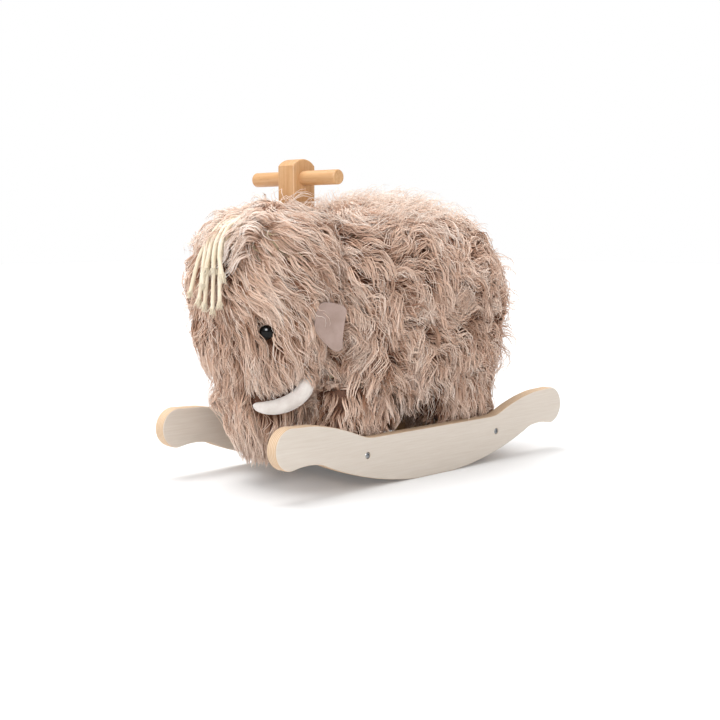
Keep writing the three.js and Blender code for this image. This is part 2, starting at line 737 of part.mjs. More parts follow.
function forelockBinding() {
  const geometry = new THREE.BoxGeometry(bindingWidth, bindingDepth, bindingHeight);
  geometry.rotateX(THREE.MathUtils.degToRad(bindingTilt));
  geometry.translate(...bindingMiddle);
  return cut(solidOf(geometry), headForm(-touch));
}

function cord(route) {
  const path = new THREE.CatmullRomCurve3(route.map((point) => new THREE.Vector3(...point)));
  const section = new THREE.Shape(Array.from({ length: 8 }, (_, i) => {
    const angle = (2 * Math.PI * i) / 8;
    return new THREE.Vector2(cordRadius * Math.cos(angle), cordRadius * Math.sin(angle));
  }));
  const steps = Math.ceil(path.getLength() / (5 * cordRadius));
  return solidOf(new THREE.ExtrudeGeometry(section, { steps, extrudePath: path, bevelEnabled: false }));
}

// ---- The scene graph -----------------------------------------------------------------------------
const mammoth = new THREE.Group();
mammoth.name = 'rocking_mammoth';

function addPiece(name, solid, material) {
  const mesh = new THREE.Mesh(geometryOf(solid), material);
  mesh.name = name;
  mammoth.add(mesh);
}

for (const [sideName, side] of sides) {
  addPiece(`rocker_${sideName}`, rocker(side), plywood);
  for (const [endName, end] of ends) {
    addPiece(`rail_bolt_${endName}_${sideName}`, bolt(side, end * railY), steel);
    addPiece(`barrel_nut_${endName}_${sideName}`, barrelNut(side, end * railY), steel);
    addPiece(`leg_post_${endName}_${sideName}`, legPost(side, end), beech);
    const head = [...postPlace(side, end), boardTop];
    addPiece(`leg_screw_${endName}_${sideName}`, screw(head, [0, 0, -1], legScrewLength), steel);
    addPiece(`leg_${endName}_${sideName}`, leg(end, side), plush);
  }
}
for (const [endName, end] of ends) addPiece(`cross_rail_${endName}`, rail(end), beech);
addPiece('seat_board', seatBoard(), plywood);
addPiece('handle_upright', upright(), beech);
addPiece('handle_bar', handleBar(), beech);
addPiece('handle_bracket', bracket(), steel);
for (const place of bracketScrewPlaces()) {
  addPiece(`bracket_screw_${place.name}`, screw(place.origin, place.direction, bracketScrewLength), steel);
}

addPiece('body_cover', bodyCover(), plush);
addPiece('body_foam', bodyFoam(), foam);
addPiece('belly_foam', bellyFoam(), foam);
const eyes = sides.map(([, side]) => eye(side));
addPiece('head_cover', headCover(eyes), plush);
addPiece('head_foam', headFoam(eyes), foam);
addPiece('trunk_cover', trunkCover(), plush);
addPiece('trunk_stuffing', trunkStuffing(), foam);
sides.forEach(([sideName, side], i) => {
  addPiece(`eye_${sideName}`, eyes[i].button, eyeBlack);
  addPiece(`eye_washer_${sideName}`, eyes[i].washer, nylon);
  addPiece(`ear_${sideName}`, ear(side), suede);
  addPiece(`tusk_${sideName}`, tusk(side), felt);
});
addPiece('forelock_binding', forelockBinding(), felt);
for (const [layer, routes] of Object.entries(cordRoutes)) {
  routes.forEach((route, i) => addPiece(`forelock_cord_${layer}_${i + 1}`, cord(route), cotton));
}

export default mammoth;
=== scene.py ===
# %% [markdown]
# # A rocking mammoth
# A plush toy to ride on: two plywood rockers, a wooden frame, and a stuffed body under a long-haired
# pelt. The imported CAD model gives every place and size. Here each visible piece gets its real surface,
# and the fur is grown strand by strand.

# %% Load the fixed frame
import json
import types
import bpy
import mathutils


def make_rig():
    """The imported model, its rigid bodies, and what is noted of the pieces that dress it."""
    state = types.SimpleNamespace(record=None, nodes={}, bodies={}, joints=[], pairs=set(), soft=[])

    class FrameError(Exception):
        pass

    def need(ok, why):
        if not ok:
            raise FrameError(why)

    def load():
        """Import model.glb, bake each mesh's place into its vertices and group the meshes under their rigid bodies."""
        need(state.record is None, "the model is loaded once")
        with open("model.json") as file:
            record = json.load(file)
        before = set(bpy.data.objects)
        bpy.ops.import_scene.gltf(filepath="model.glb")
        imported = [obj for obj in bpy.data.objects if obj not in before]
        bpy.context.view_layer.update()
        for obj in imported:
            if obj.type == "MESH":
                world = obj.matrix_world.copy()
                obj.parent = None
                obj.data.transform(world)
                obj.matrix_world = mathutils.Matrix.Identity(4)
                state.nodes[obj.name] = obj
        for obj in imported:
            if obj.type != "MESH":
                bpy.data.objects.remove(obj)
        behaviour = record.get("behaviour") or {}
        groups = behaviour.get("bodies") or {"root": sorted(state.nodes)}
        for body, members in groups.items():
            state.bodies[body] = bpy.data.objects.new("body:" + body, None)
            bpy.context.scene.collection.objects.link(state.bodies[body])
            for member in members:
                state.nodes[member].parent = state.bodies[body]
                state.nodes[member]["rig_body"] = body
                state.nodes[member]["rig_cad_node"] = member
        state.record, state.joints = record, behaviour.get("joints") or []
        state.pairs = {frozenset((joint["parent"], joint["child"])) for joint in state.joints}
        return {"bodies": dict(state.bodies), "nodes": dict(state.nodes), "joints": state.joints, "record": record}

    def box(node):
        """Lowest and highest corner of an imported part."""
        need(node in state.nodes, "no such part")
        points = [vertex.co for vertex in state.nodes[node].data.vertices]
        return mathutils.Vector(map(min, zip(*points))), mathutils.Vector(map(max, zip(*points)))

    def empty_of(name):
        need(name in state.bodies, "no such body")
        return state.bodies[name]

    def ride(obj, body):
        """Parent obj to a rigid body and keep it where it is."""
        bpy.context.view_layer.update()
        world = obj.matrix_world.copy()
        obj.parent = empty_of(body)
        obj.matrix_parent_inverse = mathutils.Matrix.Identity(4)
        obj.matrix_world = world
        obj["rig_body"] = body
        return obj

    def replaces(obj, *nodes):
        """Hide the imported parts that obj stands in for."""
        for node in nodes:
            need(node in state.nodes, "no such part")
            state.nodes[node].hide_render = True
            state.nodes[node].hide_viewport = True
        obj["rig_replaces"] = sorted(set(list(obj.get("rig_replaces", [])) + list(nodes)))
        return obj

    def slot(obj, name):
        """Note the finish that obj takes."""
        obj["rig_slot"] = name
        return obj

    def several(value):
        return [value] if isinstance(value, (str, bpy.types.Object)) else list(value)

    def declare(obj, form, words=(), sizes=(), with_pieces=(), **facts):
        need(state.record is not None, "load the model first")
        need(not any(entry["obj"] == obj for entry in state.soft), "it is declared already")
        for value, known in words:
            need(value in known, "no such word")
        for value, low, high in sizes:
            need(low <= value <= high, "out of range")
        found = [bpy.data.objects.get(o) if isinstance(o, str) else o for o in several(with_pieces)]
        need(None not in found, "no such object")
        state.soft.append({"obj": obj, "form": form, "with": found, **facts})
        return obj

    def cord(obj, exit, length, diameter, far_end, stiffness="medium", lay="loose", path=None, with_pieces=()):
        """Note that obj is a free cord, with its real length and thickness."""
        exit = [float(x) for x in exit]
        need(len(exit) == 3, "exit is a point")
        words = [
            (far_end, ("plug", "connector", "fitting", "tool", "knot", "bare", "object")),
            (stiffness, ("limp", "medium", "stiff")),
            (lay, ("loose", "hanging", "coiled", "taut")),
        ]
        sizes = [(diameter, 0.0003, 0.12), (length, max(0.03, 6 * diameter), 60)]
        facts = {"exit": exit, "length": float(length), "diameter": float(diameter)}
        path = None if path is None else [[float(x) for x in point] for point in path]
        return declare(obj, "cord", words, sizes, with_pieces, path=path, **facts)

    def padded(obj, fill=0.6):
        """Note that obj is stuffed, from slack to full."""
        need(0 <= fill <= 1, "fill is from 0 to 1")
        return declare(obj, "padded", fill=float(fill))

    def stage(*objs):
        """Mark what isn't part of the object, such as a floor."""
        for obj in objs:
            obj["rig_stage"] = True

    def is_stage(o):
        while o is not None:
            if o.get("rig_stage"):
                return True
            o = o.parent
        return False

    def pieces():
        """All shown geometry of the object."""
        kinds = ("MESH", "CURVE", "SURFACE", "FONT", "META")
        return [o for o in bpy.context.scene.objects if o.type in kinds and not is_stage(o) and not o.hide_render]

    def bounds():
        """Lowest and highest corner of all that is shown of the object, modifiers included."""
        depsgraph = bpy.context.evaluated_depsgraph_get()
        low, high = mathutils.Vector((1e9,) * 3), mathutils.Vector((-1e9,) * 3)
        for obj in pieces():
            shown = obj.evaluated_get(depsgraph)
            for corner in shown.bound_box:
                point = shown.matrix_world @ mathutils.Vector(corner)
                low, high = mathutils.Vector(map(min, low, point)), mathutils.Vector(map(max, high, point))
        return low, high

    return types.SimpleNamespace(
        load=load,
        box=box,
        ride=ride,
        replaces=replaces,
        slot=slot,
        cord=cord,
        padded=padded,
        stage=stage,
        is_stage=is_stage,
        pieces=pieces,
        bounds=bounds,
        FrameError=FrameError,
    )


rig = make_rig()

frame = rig.load()

import json
import math

import bmesh
import bpy
import numpy as np
from mathutils import Matrix, Vector, noise
from mathutils.bvhtree import BVHTree

cad_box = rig.bounds()
scene = bpy.context.scene
print("CAD box:", cad_box)

# %% [markdown]
# ## The camera
# A long lens from a little above the toy's front left, because it keeps the near and the far rocker
# nearly alike in size. Its place is the point it looks at, plus a distance along the line of sight.

# %% Camera
AZIMUTH, ELEVATION = math.radians(45.0), math.radians(6.3)
CAMERA_DISTANCE = 1.764
LOOK_AT = Vector((0, -0.0245, 0.1556))

toward_camera = Vector((
    math.sin(AZIMUTH) * math.cos(ELEVATION),
    -math.cos(AZIMUTH) * math.cos(ELEVATION),
    math.sin(ELEVATION)))
camera_data = bpy.data.cameras.new("camera")
camera_data.lens, camera_data.sensor_width = 60, 36
camera = bpy.data.objects.new("camera", camera_data)
camera.location = LOOK_AT + CAMERA_DISTANCE * toward_camera
camera.rotation_euler = toward_camera.to_track_quat("Z", "Y").to_euler()
scene.collection.objects.link(camera)
scene.camera = camera
print("camera stands at", tuple(round(v, 3) for v in camera.location))

# %% [markdown]
# ## Small helpers
# A node is added with its settings and its links in one call. Colours are written as sRGB hex values,
# as a paint chart gives them, and turned to the linear values that shaders count in. Lengths are in
# metres, so a small one is written as so many MM.

# %% Nodes and colours
MM = 0.001


def srgb(hex_colour):
    """The linear colour, with its alpha, of an sRGB hex value."""
    parts = [int(hex_colour[i:i + 2], 16) / 255 for i in (0, 2, 4)]
    return [c / 12.92 if c <= 0.04045 else ((c + 0.055) / 1.055) ** 2.4 for c in parts] + [1.0]


def add(tree, kind, inputs=None, to=None, stops=(), **settings):
    """A new node with its settings and its links.

    inputs gives each socket, by name or number, a value or another node's output. The first output
    is linked to the socket in to. stops are a colour ramp's (position, hex colour) pairs.
    """
    node = tree.nodes.new(kind)
    for key, value in settings.items():
        setattr(node, key, value)
    for key, value in (inputs or {}).items():
        if isinstance(value, bpy.types.NodeSocket):
            tree.links.new(value, node.inputs[key])
        else:
            node.inputs[key].default_value = value
    for number, (position, colour) in enumerate(stops):
        marks = node.color_ramp.elements
        mark = marks[number] if number < len(marks) else marks.new(position)
        mark.position, mark.color = position, srgb(colour)
    if to is not None:
        tree.links.new(node.outputs[0], to)
    return node


def finish(name, roughness, **shader_values):
    """A new material with its shader. Values that are the same all over sit on the shader itself."""
    made = bpy.data.materials.new(name)
    made.use_nodes = True
    tree = made.node_tree
    shader = tree.nodes["Principled BSDF"]
    shader.inputs["Roughness"].default_value = roughness
    for key, value in shader_values.items():
        shader.inputs[key.replace("_", " ")].default_value = value
    print("finish:", name)
    return made, tree, shader


def mottled(name, roughness, colours, patches, relief=None, depth=0.0, **shader_values):
    """A finish whose colour drifts between two tones in patches, over a relief of this depth.

    patches and relief are the scale, in waves per metre, and the detail of their noise. Without its
    own, the relief is that of the patches, and without a depth the surface is smooth.
    """
    made, tree, shader = finish(name, roughness, **shader_values)
    where = add(tree, "ShaderNodeTexCoord").outputs["Object"]
    drifts = [add(tree, "ShaderNodeTexNoise", {
        "Vector": where, "Scale": scale, "Detail": detail}).outputs["Fac"]
        for scale, detail in filter(None, (patches, relief))]
    add(tree, "ShaderNodeValToRGB", {"Fac": drifts[0]}, shader.inputs["Base Color"],
        zip((0.3, 0.7), colours))
    if depth:
        add(tree, "ShaderNodeBump", {"Height": drifts[-1], "Distance": depth}, shader.inputs["Normal"])
    return made


# %% Pieces and bodies
def piece(name, points, faces, material, smooth=True):
    """A mesh object whose place is in its mesh."""
    mesh = bpy.data.meshes.new(name)
    mesh.from_pydata([tuple(p) for p in points], [], [tuple(f) for f in faces])
    mesh.update()
    made = bpy.data.objects.new(name, mesh)
    scene.collection.objects.link(made)
    mesh.materials.append(material)
    if smooth:
        mesh.shade_smooth()
    print(f"{name}: {len(faces)} faces")
    return made


def evaluated(made):
    """A plain mesh of what an object's modifiers make."""
    return bpy.data.meshes.new_from_object(made.evaluated_get(bpy.context.evaluated_depsgraph_get()))


def belongs(made, body, slot, *nodes):
    """The piece rides on a body, takes a slot's finish and stands for these CAD nodes."""
    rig.ride(made, body)
    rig.slot(made, slot)
    if nodes:
        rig.replaces(made, *nodes)
    return made


SIDES = (("left", 1), ("right", -1))
TOY = "toy"


# %% [markdown]
# ## Forelock cords
# Nine soft cotton cords, twisted from three plies, hang over the forehead from a strip sewn into the
# crown. A plain tube with a twisted pattern would be simpler, but its outline would stay smooth. So a
# cord is modelled as what it is: a cross-section of three lobes that turns as it runs along the route.
# The routes are those of the CAD solids.

# %% Cotton
# Unbleached cotton yarn, plied: matt, warm white, with fine fibres across the twist. The fibres are
# drawn 1.1 mm apart, because real ones are too fine to show, and the yarn's tone drifts over 17 mm.
cotton = mottled("unbleached cotton cord", 0.9, ("EBDABD", "F6EBD5"), (60.0, 2.0), (900.0, 3.0), 0.3 * MM,
                 Sheen_Weight=0.3, Sheen_Roughness=0.5)

# %% Cord routes
CORD_RADIUS = 2.7 * MM
CORD_ROUTES = {
    "under_1": [(6, -263.4, 357.5), (3.3, -273.6, 352), (-0.3, -284.6, 345.8),
                (-9.3, -298, 328.5), (-18.8, -302.5, 310), (-39, -301.7, 266)],
    "under_2": [(12.1, -263.4, 357.5), (10.1, -273.6, 352), (7.5, -284.6, 345.8),
                (0.8, -298, 328.5), (-6.1, -302.5, 310), (-21, -301.7, 256)],
    "under_3": [(18.2, -263.4, 357.5), (16.6, -273.6, 352), (14.4, -284.6, 345.8),
                (9, -298, 328.5), (3.2, -302.5, 310), (-9, -301.7, 251)],
    "under_4": [(24.3, -263.4, 357.5), (23.3, -273.6, 352), (21.9, -284.6, 345.8),
                (18.4, -298, 328.5), (14.8, -302.5, 310), (7, -301.7, 245)],
    "under_5": [(30.4, -263.4, 357.5), (29.9, -273.6, 352), (29.2, -284.6, 345.8),
                (27.5, -298, 328.5), (25.8, -302.5, 310), (22, -301.7, 254)],
    "over_1": [(9, -267.1, 363.5), (8.2, -277.2, 358.2), (7, -289.4, 351.4),
               (4.2, -304.2, 332.4), (1.3, -309.5, 311), (-5, -308.7, 277)],
    "over_2": [(15.2, -267.1, 363.5), (14.6, -277.2, 358.2), (13.8, -289.4, 351.4),
               (11.7, -304.2, 332.4), (9.6, -309.5, 311), (5, -309.2, 298)],
    "over_3": [(21.4, -267.1, 363.5), (21.3, -277.2, 358.2), (21.2, -289.4, 351.4),
               (20.9, -304.2, 332.4), (20.6, -309.5, 311), (20, -309.2, 298)],
    "over_4": [(27.6, -267.1, 363.5), (28.2, -277.2, 358.2), (28.9, -289.4, 351.4),
               (30.8, -304.2, 332.4), (32.8, -309.5, 311), (37, -309.2, 291)],
}


# %% Smooth paths and tubes
def smooth_path(marks, count):
    """Evenly spaced points on a smooth curve through the marks."""
    marks = np.array(marks, float)
    ends = np.vstack([2 * marks[0] - marks[1], marks, 2 * marks[-1] - marks[-2]])
    dense = []
    for a, b, c, d in zip(ends, ends[1:], ends[2:], ends[3:]):
        knots = [0.0]
        for p, q in ((a, b), (b, c), (c, d)):
            knots.append(knots[-1] + max(np.linalg.norm(q - p), 1e-9) ** 0.5)
        for t in np.linspace(knots[1], knots[2], 24, endpoint=False):
            def between(p, q, i, j):
                return p + (q - p) * (t - knots[i]) / (knots[j] - knots[i])
            ab, bc, cd = between(a, b, 0, 1), between(b, c, 1, 2), between(c, d, 2, 3)
            dense.append(between(between(ab, bc, 0, 2), between(bc, cd, 1, 3), 1, 2))
    dense = np.array(dense + [marks[-1]])
    run = np.concatenate([[0], np.cumsum(np.linalg.norm(np.diff(dense, axis=0), axis=1))])
    at = np.linspace(0, run[-1], count)
    return np.stack([np.interp(at, run, dense[:, k]) for k in range(3)], axis=1), float(run[-1])


def carried_frames(path, start_up):
    """A side and an up vector at each point, carried along the path without twisting."""
    along = np.gradient(path, axis=0)
    along /= np.linalg.norm(along, axis=1)[:, None]
    up = np.array(start_up, float)
    sides, ups = [], []
    for direction in along:
        up = up - direction * (up @ direction)
        up /= np.linalg.norm(up)
        sides.append(np.cross(direction, up))
        ups.append(up.copy())
    return np.array(sides), np.array(ups)


def walls(rows, count):
    """The faces between this many rings of points, each with the same count."""
    return [(low + k, low + (k + 1) % count, low + count + (k + 1) % count, low + count + k)
            for low in range(0, (rows - 1) * count, count) for k in range(count)]


def fans(rows, count):
    """The faces that close the first and the last ring, to two middle points that follow the rings."""
    last, middle = (rows - 1) * count, rows * count
    return [((k + 1) % count, k, middle) for k in range(count)] + [
        (last + k, last + (k + 1) % count, middle + 1) for k in range(count)]


def tube(path, radii, sides_count, start_up=(0, 0, 1), section=None):
    """Points and faces of a closed tube. section(angle, share) scales the radius round the tube."""
    side, up = carried_frames(path, start_up)
    angles = np.linspace(0, 2 * math.pi, sides_count, endpoint=False)
    points = []
    for i, middle in enumerate(path):
        share = i / (len(path) - 1)
        for angle in angles:
            r = radii[i] * (section(angle, share) if section else 1)
            points.append(middle + r * (math.cos(angle) * side[i] + math.sin(angle) * up[i]))
    faces = walls(len(path), sides_count)
    faces += [tuple(reversed(range(sides_count))), tuple(range(len(points) - sides_count, len(points)))]
    return points, faces


def faces_out(made):
    """Turns every face of a closed mesh outwards."""
    shape = bmesh.new()
    shape.from_mesh(made.data)
    bmesh.ops.recalc_face_normals(shape, faces=shape.faces)
    shape.to_mesh(made.data)
    shape.free()
    return made


# %% Twist the cords
PLY_TWIST = 14 * MM  # length of one full turn of the plies
CORD_POINTS = 44
cord_ends = {}
for cord_name, route in CORD_ROUTES.items():
    path, length = smooth_path(np.array(route) * MM, CORD_POINTS)
    turns = length / PLY_TWIST

    def three_plies(angle, share):
        return 0.9 + 0.16 * abs(math.cos(1.5 * (angle + 2 * math.pi * turns * share)))

    radii = np.full(len(path), CORD_RADIUS)
    points, faces = tube(path, radii, 18, (1, 0, 0), three_plies)
    cord = faces_out(piece(f"forelock_{cord_name}", points, faces, cotton))
    belongs(cord, TOY, "cotton", f"forelock_cord_{cord_name}")
    cord_ends[cord_name] = (cord, path, length)
    print(f"{cord.name}: {length * 1000:.1f} mm long")

# %% [markdown]
# ## Strands along locks
# Fur and frayed cord ends are the same thing to make: many fine strands that follow a few leading
# lines. Code combs the leading lines, because each one has to lie on the body. Geometry Nodes then
# repeat every line as a lock of strands: they spread the copies, add frizz, cut each to its own length
# and give it a tapered body. Hair curves would look as good, but each piece has to end as a mesh. Each
# strand carries its own tone, with painted light and shade added in, and its run from root to tip as a
# UV map, so its colour stays on it wherever it lies.

# %% The strand tree
STRAND_MAP = "OFBake"
FRIZZ_SHIFT = 0.02  # how far apart, in metres, two strands of a lock read the frizz
THINS_FROM = 0.45  # the share of its length from which a strand thins
TONE_RANGE = 0.4  # how much the tones of a lock's strands differ


def strand_tree():
    """The tree, and its input sockets by name."""
    tree = bpy.data.node_groups.new("strands along locks", "GeometryNodeTree")
    kinds = {"Locks": "Geometry", "Strands per lock": "Int", "Root radius": "Float",
             "Tip share": "Float", "Frizz": "Float", "Frizz scale": "Float", "Shortest": "Float",
             "Seed": "Int", "Material": "Material"}
    sockets = {name: tree.interface.new_socket(name, in_out="INPUT", socket_type="NodeSocket" + kind)
               for name, kind in kinds.items()}
    tree.interface.new_socket("Strands", in_out="OUTPUT", socket_type="NodeSocketGeometry")
    given = tree.nodes.new("NodeGroupInput").outputs
    read = {name: add(tree, "GeometryNodeInputNamedAttribute", {"Name": name},
                      data_type=kind).outputs["Attribute"]
            for name, kind in (("lock", "INT"), ("along", "FLOAT"), ("strand", "INT"), ("spread", "FLOAT"),
                               ("root_normal", "FLOAT_VECTOR"), ("tone", "FLOAT"), ("run", "FLOAT"))}

    dots = add(tree, "GeometryNodeMeshToPoints", {"Mesh": given["Locks"]})
    lines = add(tree, "GeometryNodePointsToCurves", {
        "Points": dots.outputs["Points"], "Curve Group ID": read["lock"], "Weight": read["along"]})
    copies = add(tree, "GeometryNodeDuplicateElements", {
        "Geometry": lines.outputs["Curves"], "Amount": given["Strands per lock"]}, domain="SPLINE")
    numbered = add(tree, "GeometryNodeStoreNamedAttribute", {
        "Geometry": copies.outputs["Geometry"], "Name": "strand",
        "Value": add(tree, "GeometryNodeInputIndex").outputs["Index"]}, data_type="INT", domain="CURVE")

    # each strand keeps its own place in the lock; at the root that place lies flat on the skin
    chance = add(tree, "FunctionNodeRandomValue", {
        0: (-1.0, -1.0, -1.0), 1: (1.0, 1.0, 1.0), "ID": read["strand"], "Seed": given["Seed"]},
        data_type="FLOAT_VECTOR").outputs["Value"]
    rise = add(tree, "ShaderNodeVectorMath", {0: chance, 1: read["root_normal"]}, operation="DOT_PRODUCT")
    sunk = add(tree, "ShaderNodeMath", {0: 1.0, 1: read["along"]}, operation="SUBTRACT")
    lift = add(tree, "ShaderNodeMath", {0: rise.outputs["Value"], 1: sunk.outputs[0]}, operation="MULTIPLY")
    lifted = add(tree, "ShaderNodeVectorMath", {0: read["root_normal"], "Scale": lift.outputs[0]},
                 operation="SCALE")
    flat = add(tree, "ShaderNodeVectorMath", {0: chance, 1: lifted.outputs["Vector"]}, operation="SUBTRACT")
    aside = add(tree, "ShaderNodeVectorMath", {0: flat.outputs["Vector"], "Scale": read["spread"]},
                operation="SCALE")

    # frizz grows towards the tip and differs from strand to strand
    shift = add(tree, "ShaderNodeVectorMath", {0: chance, "Scale": FRIZZ_SHIFT}, operation="SCALE")
    shifted = add(tree, "ShaderNodeVectorMath", {
        0: add(tree, "GeometryNodeInputPosition").outputs["Position"], 1: shift.outputs["Vector"]},
        operation="ADD")
    curl = add(tree, "ShaderNodeTexNoise", {
        "Vector": shifted.outputs["Vector"], "Scale": given["Frizz scale"], "Detail": 1.0},
        noise_dimensions="3D")
    centred = add(tree, "ShaderNodeVectorMath", {0: curl.outputs["Color"], 1: (0.5, 0.5, 0.5)},
                  operation="SUBTRACT")
    amount = add(tree, "ShaderNodeMath", {0: given["Frizz"], 1: read["along"]}, operation="MULTIPLY")
    frizz = add(tree, "ShaderNodeVectorMath", {0: centred.outputs["Vector"], "Scale": amount.outputs[0]},
                operation="SCALE")
    offset = add(tree, "ShaderNodeVectorMath", {0: aside.outputs["Vector"], 1: frizz.outputs["Vector"]},
                 operation="ADD")
    moved = add(tree, "GeometryNodeSetPosition", {
        "Geometry": numbered.outputs["Geometry"], "Offset": offset.outputs["Vector"]})

    # each strand is cut to its own length and given a three-sided body that thins towards the tip
    reach = add(tree, "FunctionNodeRandomValue", {
        2: given["Shortest"], 3: 1.0, "ID": read["strand"], "Seed": given["Seed"]}, data_type="FLOAT")
    cut = add(tree, "GeometryNodeTrimCurve", {
        0: moved.outputs["Geometry"], 3: reach.outputs[1]}, mode="FACTOR")
    along = add(tree, "GeometryNodeSplineParameter").outputs["Factor"]
    thin = add(tree, "ShaderNodeMapRange", {
        "Value": along, "From Min": THINS_FROM, "From Max": 1.0, "To Min": 1.0, "To Max": given["Tip share"]})
    thickness = add(tree, "ShaderNodeMath", {0: given["Root radius"], 1: thin.outputs["Result"]},
                    operation="MULTIPLY")
    marked = add(tree, "GeometryNodeStoreNamedAttribute", {
        "Geometry": cut.outputs[0], "Name": "run", "Value": along}, data_type="FLOAT", domain="POINT")
    section = add(tree, "GeometryNodeCurvePrimitiveCircle", {"Resolution": 3, "Radius": 1.0}, mode="RADIUS")
    solid = add(tree, "GeometryNodeCurveToMesh", {
        "Curve": marked.outputs["Geometry"], "Profile Curve": section.outputs["Curve"],
        "Scale": thickness.outputs[0], "Fill Caps": True})

    # the strand's tone, with its painted light and shade, and its run go into a UV map, which the finish reads
    own = add(tree, "FunctionNodeRandomValue", {
        2: -0.5, 3: 0.5, "ID": read["strand"], "Seed": given["Seed"]}, data_type="FLOAT")
    shade = add(tree, "ShaderNodeMath", {0: own.outputs[1], 1: TONE_RANGE, 2: read["tone"]},
                operation="MULTIPLY_ADD", use_clamp=True)
    pair = add(tree, "ShaderNodeCombineXYZ", {"X": shade.outputs[0], "Y": read["run"]})
    mapped = add(tree, "GeometryNodeStoreNamedAttribute", {
        "Geometry": solid.outputs["Mesh"], "Name": STRAND_MAP, "Value": pair.outputs[0]},
        data_type="FLOAT2", domain="CORNER")
    soft = add(tree, "GeometryNodeSetShadeSmooth", {"Geometry": mapped.outputs["Geometry"]})
    real = add(tree, "GeometryNodeRealizeInstances", {"Geometry": soft.outputs["Geometry"]})
    result = tree.nodes.new("NodeGroupOutput")
    add(tree, "GeometryNodeSetMaterial", {
        "Geometry": real.outputs["Geometry"], "Material": given["Material"]}, result.inputs["Strands"])
    return tree, sockets


STRANDS, STRAND_SOCKETS = strand_tree()
print(f"strand tree: {len(STRANDS.nodes)} nodes; inputs: {', '.join(STRAND_SOCKETS)}")


def grow(name, locks, material, **sizes):
    """Runs the strand tree over these locks and keeps the result as a plain mesh."""
    paths = locks["path"]
    count, points = paths.shape[:2]
    mesh = bpy.data.meshes.new(name + " locks")
    mesh.from_pydata(paths.reshape(-1, 3).tolist(), [], [])

    def store(key, kind, values):
        mesh.attributes.new(key, kind, "POINT").data.foreach_set(
            "vector" if kind == "FLOAT_VECTOR" else "value", np.ascontiguousarray(values).ravel())

    store("lock", "INT", np.repeat(np.arange(count, dtype=np.int32), points))
    store("along", "FLOAT", np.tile(np.linspace(0, 1, points, dtype=np.float32), count))
    store("spread", "FLOAT", locks["spread"].astype(np.float32))
    store("tone", "FLOAT", np.repeat(locks["tone"].astype(np.float32), points))
    store("root_normal", "FLOAT_VECTOR", np.repeat(locks["normal"].astype(np.float32), points, axis=0))
    source = bpy.data.objects.new(name + " source", mesh)
    scene.collection.objects.link(source)
    modifier = source.modifiers.new("strands", "NODES")
    modifier.node_group = STRANDS
    for key, value in {**sizes, "Material": material}.items():
        modifier[STRAND_SOCKETS[key].identifier] = value
    shape = evaluated(source)
    bpy.data.objects.remove(source)
    for attribute in ("lock", "along", "spread", "tone", "root_normal", "strand", "run", "radius"):
        if attribute in shape.attributes:
            shape.attributes.remove(shape.attributes[attribute])
    made = bpy.data.objects.new(name, shape)
    scene.collection.objects.link(made)
    print(f"{name}: {count} locks, {len(shape.polygons) * 2 - count} triangles or so")
    return made


# %% [markdown]
# ### Frayed ends
# The cords are cut and left to open: for the last few millimetres the plies untwist into a small brush.
# Each brush is one lock of strands that spreads, from the same tree as the fur.

# %% Fray the cord ends
for cord_name, (cord, path, length) in cord_ends.items():
    tip, direction = path[-1], path[-1] - path[-3]
    direction = direction / np.linalg.norm(direction)
    lines = np.stack([tip - direction * 3 * MM + direction * 12 * MM * t for t in np.linspace(0, 1, 5)])
    locks = {"path": lines[None], "normal": direction[None], "tone": np.array([0.5]),
             "spread": np.array([[1.5, 2.2, 3.0, 4.2, 5.6]]) * MM}
    fray = grow(f"forelock_fray_{cord_name}", locks, cotton, **{
        "Strands per lock": 60, "Root radius": 0.6 * MM, "Tip share": 0.5, "Frizz": 6 * MM,
        "Frizz scale": 140.0, "Shortest": 0.6, "Seed": len(cord_name) + ord(cord_name[-1])})
    belongs(fray, TOY, "cotton")
    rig.cord(cord, exit=path[0], length=round(length, 4), diameter=2 * CORD_RADIUS, far_end="bare",
            stiffness="limp", lay="hanging", path=path, with_pieces=[fray])

# %% [markdown]
# ## The stuffed forms
# Under the fur is a knitted backing, stretched over foam and stuffing. Each form is a stack of rounded
# rings, a little inside the pile's outer surface. Little of it shows, so no cloth is simulated: the
# stuffing is tight, and what the eye sees is the fur that grows from it.

# %% Knitted backing
# Warp-knitted polyester with its short dense underfur: matt, in tufts 1.4 mm across, and painted dark
# brown as the shade that lies deep between the long hairs.
backing = mottled("knitted fur backing", 0.95, ("5A3622", "7C523A"), (700.0, 2.0), depth=1.0 * MM)

# %% Rounded rings
BACKING_DEPTH = 11 * MM  # from the pile's outer surface down to the backing
RING_POINTS = 64


def bent(values, power):
    """Sines and cosines bent so that a circle becomes a rounded square: 2 is a circle, more is squarer."""
    return np.sign(values) * np.abs(values) ** (2 / power)


def ring(middle, z, half_x, half_y, power):
    """A level ring of points, as square as its power says."""
    angle = 2 * np.pi * (np.arange(RING_POINTS) + 0.5) / RING_POINTS
    return np.stack([middle[0] + half_x * bent(np.cos(angle), power),
                     middle[1] + half_y * bent(np.sin(angle), power), np.full(RING_POINTS, z)], axis=1)


def stack_rings(rings):
    """Points and faces of the closed form through these rings, from the lowest to the highest."""
    points = np.vstack(list(rings) + [rings[0].mean(axis=0)[None], rings[-1].mean(axis=0)[None]])
    return points, walls(len(rings), RING_POINTS) + fans(len(rings), RING_POINTS)


# %% The body form
BODY_MIDDLE, BODY_HALF = (0.0, 0.012), (0.124, 0.208)
BODY_BOTTOM, BODY_TOP = 0.105, 0.388
BODY_RINGS, STEEPEST = 41, 87  # how many, and the angle in degrees of the lowest and the highest
SEAM_Y, SEAM_SLOPE = -0.110, math.tan(math.radians(18.6))
SEAM_GAP = 1 * MM


def seam(z):
    """How far back the neck's seam lies at this height: a plane that leans back towards its top."""
    return SEAM_Y - (BODY_TOP - z) * SEAM_SLOPE


